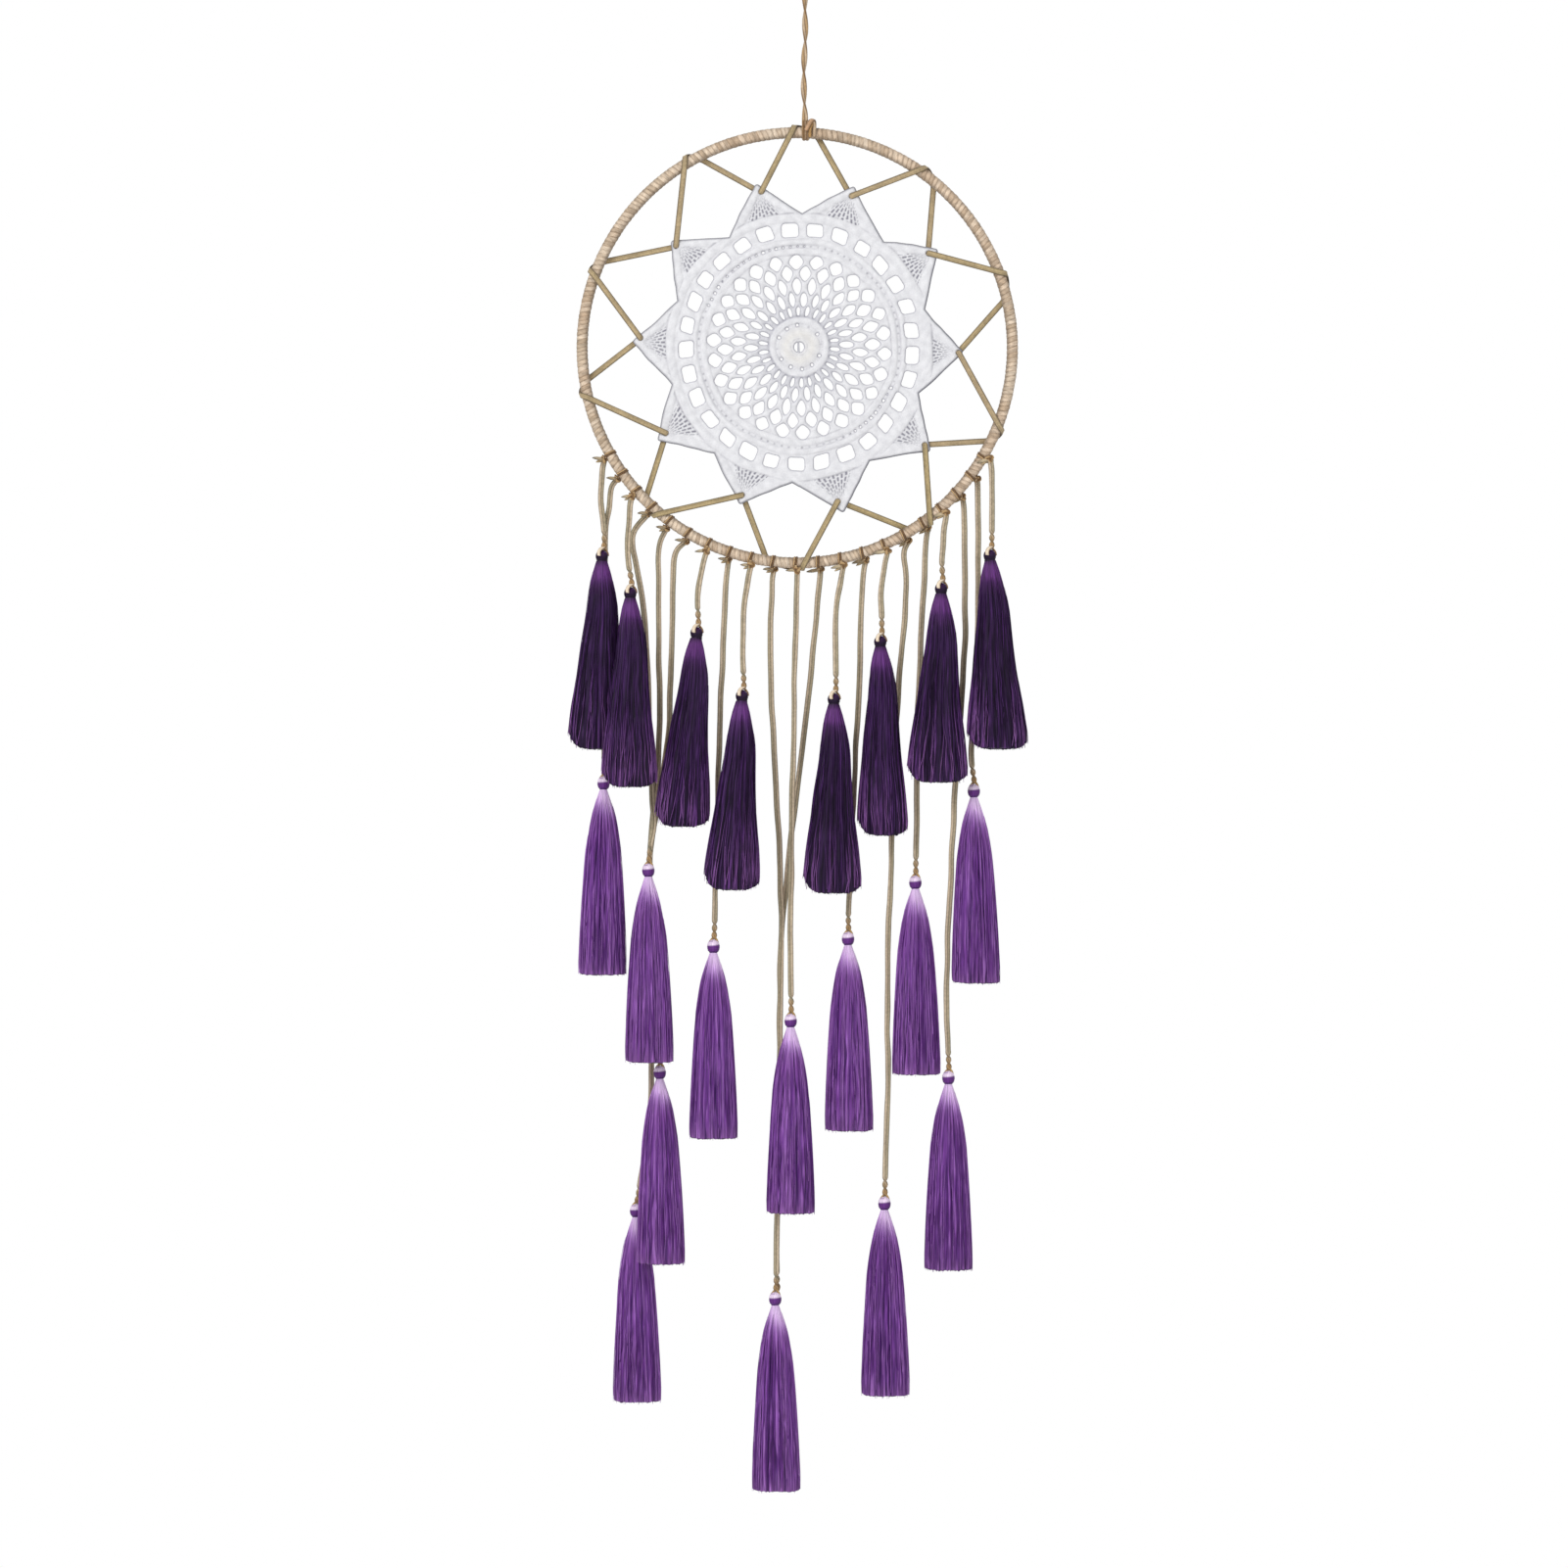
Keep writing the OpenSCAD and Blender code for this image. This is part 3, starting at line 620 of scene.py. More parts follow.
def hoop_knot_piece():
    """The cord's two strands run over the hoop's front, round it and up into a folded knot at the right."""
    shell = Shell()
    # painted light and shade: the left strand painted in shade, the right one lit
    for dx, base in ((-0.72, SHADED_BEIGE), (0.72, BEIGE)):
        route = [(0, -1.1, -73.5), (0, -2.0, -75.2), (0, -3.1, -77.6), (0, -3.2, -80.2), (0.1, -2.0, -82.6),
                 (0.3, 0.2, -83.2), (0.7, 2.5, -82.2), (1.0, 3.2, -80), (1.4, 2.8, -77.4), (1.8, 1.2, -75.9),
                 (2.1, -0.6, -75.8)]
        path = resample(np.array(route) + [dx, 0, 0], 0.5)
        scale = np.interp(np.arange(len(path)), [0, 4], [0.72, 1])
        sweep(shell, path, (1, 0, 0), lace_section(1.1, 1.5, 10, 0.9), lace_colour(base, GOLD_DARK, 2.4),
              scale)
    folded = [(0.5, -4.1, -79.4), (1.2, -4.5, -77.9), (2.2, -4.2, -76.0), (3.1, -2.9, -74.8),
              (3.8, -0.9, -74.6), (4.0, 1.2, -75.6), (3.9, 2.8, -77.6), (3.8, 3.1, -80)]
    over = [(4.3, 2.6, -77.2), (4.3, 0.6, -75.3), (3.9, -1.6, -75.2), (3.2, -3.4, -76.6), (2.4, -4.0, -78.4),
            (2.2, -3.6, -80.2), (2.2, -2.4, -82.2)]
    tucked = [(1.4, -3.5, -76.2), (2.6, -3.2, -74.9), (3.9, -2.9, -75.9), (4.3, -3.4, -77.7),
              (4.2, -3.3, -79.8), (4.1, -2.5, -82.0)]
    for route, facing, section, base, seed in (
            (folded, (0, -0.75, 0.65), lace_section(2.3, 1.3, 12, 0.85), rgb(200, 160, 124), 2),
            (over, (0, -0.75, 0.65), lace_section(1.7, 1.2), GOLD * 1.15, 3),
            (tucked, (0.2, -0.85, 0.4), lace_section(1.7, 1.1), BEIGE, 1)):
        sweep(shell, resample(route, 0.4), facing, section, lace_colour(base, GOLD_DARK, 1.8, 0.1, seed))
    shell.build("hoop_knot_lace", suede, "hoop", ["hoop_knot"])


def string_knots_piece():
    """Per string: a thin slanted turn round the hoop, a pulled knot at its lower edge and cut tails."""
    shell = Shell()
    thin = lace_section(0.8, 0.6, 8, 0.9)
    light = rgb(214, 194, 158)

    def tail_colour(t, u):
        # from the tail's pale base to a darker tip, its edges painted darker as shade on the round lace
        return mix(light, TAIL_EDGE, t ** 3) * (1 - 0.5 * u ** 2)[..., None]

    for s, (k, y) in enumerate(zip(STRING_KNOT, EXIT_Y), 1):
        rng = np.random.default_rng(300 + s)
        a = knot_angle(k)
        bead = bead_centre(k, y)
        half = 0.5 * rng.uniform(0.6, 1.3)
        # painted shadow: the first turn is painted dark brown as the shadow line across the hoop, the second
        # beside it in the lace's paler colour
        for shift, r, base, edge in ((0, 2.72, rgb(120, 84, 44), GOLD_DARK * 0.5),
                                     (0.55, 2.68, rgb(206, 172, 124), GOLD_DARK)):
            path, away = helix(a + shift - half, a + shift + half, 60, 420, r)
            sweep(shell, path, away, thin, lace_colour(base, edge, 1.4, 0.1, s))
        overhand(shell, bead, 1.45, 0.78, rng.uniform(-0.6, 0.6, 3),
                 lace_colour(rgb(196, 162, 112), GOLD_DARK, 2.0, 0.1, s))
        path, away = helix(a + 0.3, a + 0.9, 20 if y < 0 else 70, 100, 3.2, 14)
        sweep(shell, path, away, lace_section(1.5, 0.9, 8, 0.9),
              lace_colour(rgb(206, 178, 134), GOLD_DARK, 2.0))
        way = unit([-0.8, -0.6 if y > 0 else 0.6, 0.1] if k < 12 else [-0.985, 0, -0.17])
        tail_l = rng.uniform(5.8, 7.0)
        bend = np.array([0, 0, rng.uniform(-0.9, 0.1)])
        t = np.linspace(0, 1, 12)[:, None]
        wide = np.interp(t, [0, 0.25, 0.6, 0.88, 1], [0.8, 1.15, 1.1, 0.6, 0.16])
        scale = np.hstack([wide, np.clip(wide, 0.3, 1)])
        sweep(shell, bead + way * (t * tail_l) + bend * t * t, (0.1, -0.75, 0.65),
              lace_section(1.9, 0.8, 10, 0.8), tail_colour, scale)
        if s % 3:
            second = bead + way * (t * tail_l * 0.72) + np.array([0.1, 0, -1.9]) * t
            sweep(shell, second, (0.1, -0.8, 0.5), lace_section(1.5, 0.8, 8, 0.8),
                  lace_colour(rgb(204, 178, 134), rgb(104, 90, 64), 2.0), scale)
    shell.build("string_knots_lace", suede, "hoop", ["string_knots"])


hoop_ring_piece()
hoop_wrap_piece()
lacing_piece()
hoop_knot_piece()
string_knots_piece()


# ---- doily

# clockwise angle in degrees from the top and distance from the middle
POINTS = [(-159, 76.6), (-123.3, 77.5), (-88.2, 75.7), (-50.7, 75.7), (-15, 76.3), (18.75, 77), (54.7, 77),
          (91.8, 74.5), (128.7, 76), (165.4, 78)]
NOTCHES = [(-177, 61.3), (-141.3, 61.8), (-106.5, 60.4), (-69.8, 59.1), (-33, 59.1), (1.5, 60.4),
           (38.7, 60.9), (73.5, 59.1), (111.3, 58.2), (148.2, 60.6)]
EDGE_R = 60
EYELETS = 29
EYELET_R = 52.3
PICOTS = 90
PICOT_R = 45.5
MESHES = 26
LATTICE_IN = 13.7
LATTICE_OUT = 41.8
ROSETTE_HOLES = 12
ROSETTE_R = 9.9


def soft_max(a, b, k):
    h = clip01(0.5 + 0.5 * (a - b) / k)
    return b + (a - b) * h + k * h * (1 - h)


def bump(d, w):
    """Rounded ridge of half-width w across a distance d."""
    return np.sqrt(clip01(1 - (d / w) ** 2))


def repeats(ang, start, count):
    """For places spaced evenly round the middle: the nearest one's number, and the degrees from it."""
    e = (ang + start) / (360 / count)
    k = np.round(e).astype(int)
    return k, (e - k) * (360 / count)


def edge_distance(x, z, a, b):
    """Distance to the straight edge from a to b."""
    d = np.subtract(b, a)
    t = clip01(((x - a[0]) * d[0] + (z - a[1]) * d[1]) / (d @ d))
    return np.hypot(x - a[0] - t * d[0], z - a[1] - t * d[1])


def doily_outline(x, z):
    """Distance inside the line through the points and notches, negative outside it."""
    inset = {p: 1.9 for p in POINTS} | {p: 1.45 for p in NOTCHES}
    corners = [clock(r - inset[a, r], a)[[0, 2]] for a, r in sorted(POINTS + NOTCHES)]
    rim = np.full(x.shape, 99.0)
    inside = np.zeros(x.shape, bool)
    for a, b in zip(corners, corners[1:] + corners[:1]):
        rim = np.minimum(rim, edge_distance(x, z, a, b))
        cut = (b[0] - a[0]) * (z - a[1]) / (b[1] - a[1]) + a[0]
        inside ^= ((a[1] > z) != (b[1] > z)) & (x < cut)
    return np.where(inside, rim, -rim) + 1.4


def eyelet_field(rng, r, ang, arc):
    """Distance outside the square eyelets, each a little different."""
    k, off = repeats(ang, 4.8, EYELETS)
    off = off * arc
    pick = rng.uniform(0, 1, (EYELETS + 1, 4))[k % EYELETS]
    half_a = 3.6 + 0.5 * (pick[..., 0] - 0.5)
    half_r = 2.95 + 0.4 * (pick[..., 1] - 0.5)
    mid_r = EYELET_R + 0.9 * np.cos(2 * np.radians(ang)) + 0.4 * (pick[..., 3] - 0.5)
    corner_r = 1.5
    qa = np.abs(off + 0.32 * (r - EYELET_R) * (pick[..., 2] - 0.5)) - half_a + corner_r
    qr = np.abs(r - mid_r + 0.1 * off * (pick[..., 0] - 0.5)) - half_r + corner_r
    return np.hypot(np.maximum(qa, 0), np.maximum(qr, 0)) + np.minimum(np.maximum(qa, qr), 0) - corner_r


def lattice_field(r, ang, arc):
    """Distance inside two crossing families of strands, with an arch over each outer opening."""
    t = np.interp(r, [13.0, 15.8, 21.3, 27.4, 33.6, 38.7, 43.8], [4.55, 4, 3, 2, 1, 0, -1])
    rise = np.interp(r, [13, 18, 24, 30, 36, 43], [2.75, 5.5, 6.1, 6.2, 5.1, 5.1])
    wide = np.interp(r, [13, 15.8, 18.5, 21.3, 24, 27.4, 30.5, 33.6, 36, 38.7, 42],
                     [0.5, 0.55, 0.56, 0.62, 0.68, 0.82, 0.76, 0.8, 0.74, 0.7, 0.8])
    step = 360 / MESHES
    families = []
    for sign in (-1, 1):
        f = (ang + 2.1) / step - 0.5 - sign * 0.5 * t
        d = np.abs(f - np.round(f)) * step * arc / np.hypot(1, 0.5 * step * arc / rise)
        families.append(wide + 0.12 * np.sin(ang * 0.23 + r * 0.5 + sign) - d)
    strands = soft_max(families[0], families[1], 2.0)
    off = repeats(ang, 2.1, MESHES)[1] * arc
    arch = (np.hypot(off / 3.1, (r - 38.3) / 3.35) - 1) * 3.1
    strands = np.where(r > 38.7, np.maximum(strands, arch), strands)
    return np.maximum(np.maximum(strands, r - LATTICE_OUT), LATTICE_IN - r)


def doily_ridges(r, ang, border):
    """Height of the raised rings and of the padded edge of the points."""
    ridge = 0.62 * bump(r - 58.5, 2.1) * (0.93 + 0.07 * np.cos(np.radians(ang) * 58.5 / 0.55))
    for ring_r, half_w, height in ((47.6, 1.35, 0.55), (43.2, 1.6, 0.6), (12.2, 1.6, 0.6), (5.2, 4.4, 0.7),
                                   (3.0, 0.8, 0.8)):
        ridge = np.maximum(ridge, height * bump(r - ring_r, half_w))
    return np.where(r > EDGE_R + 0.2, np.maximum(ridge, 0.75 * bump(border - 2.0, 2.1)), ridge)


def point_slits(r, ang, arc, border):
    """Rows of short slits in the ten points, painted dark as shaded pits."""
    shade = np.zeros(r.shape)
    for i, (a, top_r) in enumerate(POINTS):
        off = (ang - a + 180) % 360 - 180
        depth = top_r - r
        across = off * arc
        reach = np.interp(depth, [3, 8, 16.5], [0.6, 2.8, 8.3])
        col = across / reach * 3.9
        line = np.abs(col - np.round(col))
        rows = depth * 0.4 + 0.16 * np.abs(col) + 0.45 * (np.round(col + i) % 2) + 0.2 * i
        dash = np.abs(rows - np.round(rows))
        on = (np.abs(off) < 14) & (np.abs(across) < reach) & (depth > 4.6)
        on &= (r > EDGE_R + 0.6) & (border > 3.2)
        deep = np.clip((depth - 3.5) / 8.5, 0.3, 1)
        pit = deep * clip01(1.15 - line / 0.36) * clip01((0.44 - dash) / 0.12)
        shade = np.where(on, np.maximum(shade, pit), shade)
    return shade


def doily_ring_shades(x, z, r, ang, outline):
    """Thin rings of painted shade between the ridges, and a faint cloudiness all over."""
    ring_shade = np.zeros(r.shape)
    for ring_r, w, k in ((60.6, 0.5, 0.4), (49, 0.5, 0.2), (46.2, 0.55, 0.3), (44.8, 0.5, 0.22),
                         (41.6, 0.5, 0.3), (14, 0.7, 0.35), (10.4, 0.6, 0.25), (9.2, 0.5, 0.25),
                         (3.9, 0.4, 0.3)):
        ring_shade = np.maximum(ring_shade, k * np.exp(-((r - ring_r) / w) ** 2))
    ring_shade = np.where((r > EDGE_R) & (outline < 2), 0, ring_shade)
    ring_shade = ring_shade * (0.75 + 0.45 * np.sin(ang * 0.11 + 2) * np.sin(ang * 0.047 + 1) + 0.2 * np.sin(ang * 0.9))
    cloud = 0.5 + 0.5 * np.sin(x * 0.9 + 2 * np.sin(z * 0.31)) * np.sin(z * 0.8 + 2 * np.sin(x * 0.27))
    return np.maximum(ring_shade, 0.16 * cloud)


def doily_fields(x, z):
    """Distance inside the lace (negative in its openings), half thickness and how shaded each place is."""
    rng = np.random.default_rng(77)
    wx = x + 0.22 * np.sin(z * 0.21 + 1) + 0.16 * np.sin(x * 0.43 + z * 0.12)
    wz = z + 0.22 * np.sin(x * 0.19 + 2) + 0.16 * np.sin(z * 0.39 - x * 0.15)
    r = np.hypot(wx, wz)
    ang = np.degrees(np.arctan2(wx, wz))
    arc = np.radians(1) * r
    outline = doily_outline(wx, wz) + 0.07 * np.sin(r * 0.9 + ang * 0.31)
    field = np.minimum(outline, eyelet_field(rng, r, ang, arc))

    # picot holes between the two ridges, on parts of the ring
    k, off = repeats(ang, 1.5, PICOTS)
    off = off * arc
    size = np.where(((ang > -66) & (ang < 4)) | ((ang > 112) & (ang < 150)), 0.62, 0.0)
    size = size * (0.35 + 0.85 * rng.uniform(0, 1, PICOTS + 1)[k % PICOTS])
    picot = np.hypot(off, (r - PICOT_R) * 1.1)
    field = np.where(size > 0, np.minimum(field, picot - size), field)
    # painted shade: dark dots at the picot places, open or closed
    keep = 0.6 + 0.25 * np.sin(ang * 0.37 + 1) * np.sin(ang * 0.13)
    picot_shade = keep * clip01(1.1 - np.hypot(off, r - PICOT_R) / 0.8)

    lattice = lattice_field(r, ang, arc)
    field = np.minimum(field, lattice)

    # rosette: a ring of small holes, some of them closed, and the middle with a thread across it
    k, off = repeats(ang, 5, ROSETTE_HOLES)
    to_hole = np.hypot(off * arc, r - ROSETTE_R)
    open_one = rng.uniform(0, 1, ROSETTE_HOLES + 1)[k % ROSETTE_HOLES] > 0.35
    field = np.where(open_one, np.minimum(field, to_hole - 0.62), field)
    field = np.minimum(field, np.maximum(r - 2.4, 0.5 - np.abs(wx + 0.3)))

    for a in TIPS:
        hole = clock(LACE_HOLE_R, a)
        field = np.minimum(field, np.hypot(x - hole[0], z - hole[2]) - 0.9)

    border = np.maximum(outline, 0)
    ridge = doily_ridges(r, ang, border)
    petals = clip01(6 * np.abs(((ang / 360 * 34) % 1) - 0.5) - 2) * ((r > 4.5) & (r < 8.8))
    shade = point_slits(r, ang, arc, border)
    # painted shade: dark spots at each rosette hole, open or closed, added to the other shade
    for part in (picot_shade, doily_ring_shades(wx, wz, r, ang, outline), 0.5 * clip01(1 - to_hole), 0.1 * petals):
        shade = np.maximum(shade, part)
    hatch = 0.5 + 0.5 * np.sin(np.radians(ang) * 57.6 + r * 3.0)
    half = 0.42 + ridge - 0.4 * shade + 0.05 * hatch
    strand_zone = (r < LATTICE_OUT - 0.1) & (r > LATTICE_IN)
    half = np.where(strand_zone, 0.34 + 0.42 * np.clip(lattice / 0.8, 0, 1.15), half)
    return field, half, shade, outline, strand_zone, r, ang


def doily_colour(field, shade, outline, zone, r, ang):
    """White cotton with painted shade: a cool grey towards the edges of its openings and towards the
    lattice's middle, a painted shadow along its rim, heavier on one side, and dark in its pits.
    """
    white, shade_grey = rgb(235, 235, 238), rgb(174, 174, 186)
    col = mix(white, rgb(234, 232, 229), 1 - np.abs(r - 6) / 4)
    # painted shade towards the edges of the openings, where the round strands turn away
    col = mix(col, shade_grey, clip01(1 - field / np.where(zone, 0.5, 0.65)) * np.where(zone, 0.75, 0.8))
    # painted shadow along the outer rim, heavier on one side
    rim_shadow = clip01(1.15 - outline) * (0.7 + 0.3 * clip01(np.sin(np.radians(ang - 25))))
    col = mix(col, rgb(112, 112, 124), rim_shadow)
    # painted shade deepening towards the lattice's middle
    col = mix(col, shade_grey, 0.35 * clip01((26 - r) / 12) * (r > 13.5))
    # painted shade: the pits, rings, dots and cloudiness darken the cotton
    col = mix(col, rgb(108, 106, 122), shade * 0.95)
    # the back gets the same painted shade, a quarter lighter
    return col, mix(col, white, 0.25)


def rim_colour(r):
    """Colour of the cut edges, painted grey as shade, by their distance from the middle."""
    col = np.where(((r < 42.5) & (r > 13))[:, None], rgb(176, 176, 187), rgb(150, 150, 162))
    return np.where(r[:, None] > 58.5, rgb(104, 104, 116), col)


def doily_piece():
    """The open mesh: a fine grid cut along the field's zero line, front and back joined at the cut."""
    step, half_w = 0.36, 80.5
    line = np.arange(-half_w, half_w + step / 2, step)
    n = len(line)
    x, z = np.meshgrid(line, line, indexing="ij")
    field, half, shade, outline, strand_zone, r, ang = [f.ravel() for f in doily_fields(x, z)]
    inside = field > 0
    pts = np.stack([x.ravel(), z.ravel()], 1)
    cell = (np.arange(n - 1)[:, None] * n + np.arange(n - 1)[None]).ravel()
    quad = np.stack([cell, cell + n, cell + n + 1, cell + 1], 1)
    full = inside[quad].all(1)
    some = inside[quad].any(1) & ~full
    tris = np.concatenate([quad[some][:, [0, 1, 2]], quad[some][:, [0, 2, 3]]])
    count = inside[tris].sum(1)
    whole = tris[count == 3]

    def turned(t, lone_inside):
        """Roll each triangle so that the odd corner comes first."""
        k = (inside[t] == lone_inside).argmax(1)
        rows = np.arange(len(t))
        return np.stack([t[rows, k], t[rows, (k + 1) % 3], t[rows, (k + 2) % 3]], 1)

    one, two = turned(tris[count == 1], True), turned(tris[count == 2], False)
    cuts = np.concatenate([one[:, [0, 1]], one[:, [0, 2]], two[:, [1, 0]], two[:, [2, 0]]])
    ends = np.sort(cuts, axis=1)
    cut_id, inv = np.unique(ends[:, 0] * n * n + ends[:, 1], return_inverse=True)
    a, b = np.divmod(cut_id, n * n)
    t = np.clip(field[a] / (field[a] - field[b]), 0.06, 0.94)[:, None]
    rim_p = pts[a] * (1 - t) + pts[b] * t
    used = np.unique(np.concatenate([quad[full].ravel(), whole.ravel(), one[:, 0], two[:, 1], two[:, 2]]))
    nu = len(used)
    number = np.full(n * n, -1)
    number[used] = np.arange(nu)
    e1, e2, e3, e4 = np.split(inv + 2 * nu, np.cumsum([len(one), len(one), len(two)]))

    rounding = clip01(field[used] / 0.85)
    h = np.maximum(half[used] * np.sqrt(1 - (1 - rounding) ** 2), 0.12)

    def layer(p, y):
        """Points at y from the lace's slightly wavy middle surface."""
        wave = 0.25 * np.sin(p[:, 0] * 0.06 + 1) * np.sin(p[:, 1] * 0.05)
        return np.stack([p[:, 0], y + wave, p[:, 1]], 1)

    v = np.vstack([layer(pts[used], -h), layer(pts[used], h * 0.85), layer(rim_p, 0)]) + DOILY
    quads, triangles = [], []
    for side, way in ((0, 1), (1, -1)):
        ids = number + nu * side
        q2 = np.stack([e3, ids[two[:, 1]], ids[two[:, 2]], e4], 1)
        quads += [ids[quad[full]][:, ::way], q2[:, ::way]]
        triangles += [ids[whole][:, ::way], np.stack([ids[one[:, 0]], e1, e2], 1)[:, ::way]]

    front_c, back_c = doily_colour(*[f[used] for f in (field, shade, outline, strand_zone, r, ang)])
    c = np.vstack([front_c, back_c, rim_colour(np.hypot(rim_p[:, 0], rim_p[:, 1]))])
    shell = Shell()
    shell.add(v, np.vstack(quads), c, v, np.vstack(triangles))
    obj = shell.build("doily_lace", cotton, "hoop", ["doily"])


doily_piece()


# ---- tassels

# full width of the skirt in millimetres by depth below the top of the head
DARK_SKIRT = [(4.9, 5.3), (6, 6), (8, 7.2), (10, 8.4), (12, 9.3), (14, 10.2), (16, 10.9), (18, 11.7),
              (20, 12.4), (24, 13.5), (28, 14.3), (34, 15.4), (44, 17.5), (56, 20), (70, 24.2), (84, 27.5)]
LIGHT_SKIRT = [(5.8, 3.5), (6.6, 4), (8, 5), (9.3, 5.9), (12, 7.7), (14, 8.8), (16, 10.1), (18, 11),
               (20, 11.9), (24, 13.3), (28, 14.5), (34, 16.1), (44, 17.6), (56, 19.1), (70, 20.6), (84, 21.8)]


def skirt_point(n, depth, theta, swell=0.0):
    """Point of a tassel's skirt surface; swell is millimetres outward."""
    dark = n <= DARK
    low = depth / TASSEL_L
    stops = np.array(DARK_SKIRT if dark else LIGHT_SKIRT)
    half_w = np.interp(depth, stops[:, 0], stops[:, 1]) * (1 - (1 - FULLNESS[n - 1]) * clip01(low)) / 2
    flat = 0.5 if dark else 0.66
    half_t = half_w * (flat + (1 - flat) * (1 - clip01(low)) ** 2)
    hx, hy = HEM_SHIFT[n - 1]
    x, y, z = HEAD[n - 1]
    lean = 0.7 * np.exp(-((depth - 27) / 13) ** 2) if dark else 0
    return np.stack([x + hx * low + lean + (half_w + swell) * np.cos(theta),
                     y + hy * low + (half_t + swell) * np.sin(theta), z - depth + 0 * theta], -1)


def hem_depth(n, theta):
    """Depth of the cut hem; a dark one is rounded, more on its left."""
    c = np.cos(theta)
    left, right = (7.6, 3.0) if n <= DARK else (0.7, 0.4)
    return TASSEL_L - np.where(c < 0, left * np.abs(c) ** 5, right * np.abs(c) ** 6)


# colour of the silk by depth below the top of the head
DARK_TONES = [(4.9, (52, 24, 62)), (6, (76, 38, 92)), (7.5, (102, 51, 122)), (12, (104, 52, 125)),
              (15, (73, 34, 92)), (18, (57, 24, 73)), (22, (46, 18, 64)), (28, (48, 20, 67)),
              (35, (43, 17, 59)), (45, (38, 14, 53)), (58, (38, 14, 53)), (66, (41, 16, 57)),
              (76, (40, 16, 56)), (90, (38, 15, 54))]
LIGHT_TONES = [(6, (244, 216, 255)), (9, (240, 206, 252)), (12, (208, 166, 228)), (15, (171, 120, 197)),
               (18, (143, 88, 171)), (22, (130, 71, 158)), (28, (121, 63, 151)), (35, (116, 58, 147)),
               (48, (124, 66, 156)), (56, (124, 66, 156)), (65, (113, 57, 143)), (75, (108, 52, 137)),
               (84, (116, 62, 144)), (90, (130, 80, 150))]


def skirt_colour(n, depth, groove, tone):
    """groove 0..1 is how deep in a furrow, painted darker as shade; tone -1..1 the strand's own shade."""
    tones, deep, light = DARK_TONES, rgb(16, 8, 26), rgb(98, 54, 128)
    if n > DARK:
        tones, deep, light = LIGHT_TONES, rgb(50, 18, 84), rgb(194, 138, 220)
    depths = [d for d, _ in tones]
    colours = np.array([rgb(*c) for _, c in tones])
    base = np.stack([np.interp(depth, depths, colours[:, k]) for k in range(3)], -1)
    base = mix(base, light, clip01(tone) * 0.55)
    base = mix(base, deep, clip01(-tone) * 0.5)
    # painted shade in the furrows, weaker near the neck
    return mix(base, deep, groove * np.clip((depth - 9) / 12, 0.25, 1))


def silk_lay(n, theta, depth):
    """Places for the silk's pattern: round the tassel and down it."""
    return np.stack(np.broadcast_arrays(theta * 9 + n * 7, depth, 0.0), -1)


def furrowed_skirt(shell, n, rng):
    """The skirt's surface, cut by wandering furrows; returns its lowest ring of points, colours and lays."""
    dark = n <= DARK
    around, levels, count = 176, 44, 52 if dark else 40
    theta = 2 * np.pi * np.arange(around)[None] / around
    run = (np.linspace(0, 1, levels) ** 0.9)[:, None]
    top = (DARK_SKIRT if dark else LIGHT_SKIRT)[0][0]
    depth = top + (hem_depth(n, theta) + rng.uniform(-0.45, 0.15, around) - top) * run
    grooves = 2 * np.pi * (np.arange(count) + rng.uniform(-0.42, 0.42, count)) / count
    wave, drift = wanders(rng, levels, 9, count), wanders(rng, levels, 3, count)
    place = grooves + (0.045 if dark else 0.065) * wave + 0.08 * drift * run
    gap = np.abs((theta[:, :, None] - place[:, None, :] + np.pi) % (2 * np.pi) - np.pi)
    strength = clip01(rng.uniform(0.35, 1.0, count) * (0.75 + 0.45 * wanders(rng, levels, 7, count)))
    wide = 0.034 if dark else 0.042
    groove = (strength[:, None, :] * np.exp(-(gap / wide) ** 2)).max(2)
    fine = wanders(rng, levels, 12, around)
    tone = 0.55 * rng.uniform(-1, 1, around) + 0.55 * fine
    tone = tone + 0.35 * np.clip((np.roll(tone, 1, 1) + np.roll(tone, -1, 1)) / 2, -1, 1)
    fade = np.clip((depth - top) / 12, 0.15, 1)
    swell = (-(1.1 if dark else 1.15) * groove + 0.16 * tone) * fade - 0.15
    v = skirt_point(n, depth, theta, swell)
    if dark:
        col = skirt_colour(n, depth, groove, tone)
        col = mix(col, rgb(128, 74, 150), clip01((depth - 66) / 24) * clip01(tone - 0.35) * 0.9)
    else:
        # painted light: the pale neck reaches lower on the right, the lit side
        lower = 3.2 * np.cos(theta + 0.5) * clip01((34 - depth) / 20)
        col = skirt_colour(n, depth - lower, groove, tone)
    lay = silk_lay(n, theta, depth)
    shell.add(v, ring_quads(levels, around)[:, ::-1], col, lay)
    return v[-1], col[-1], lay[-1]


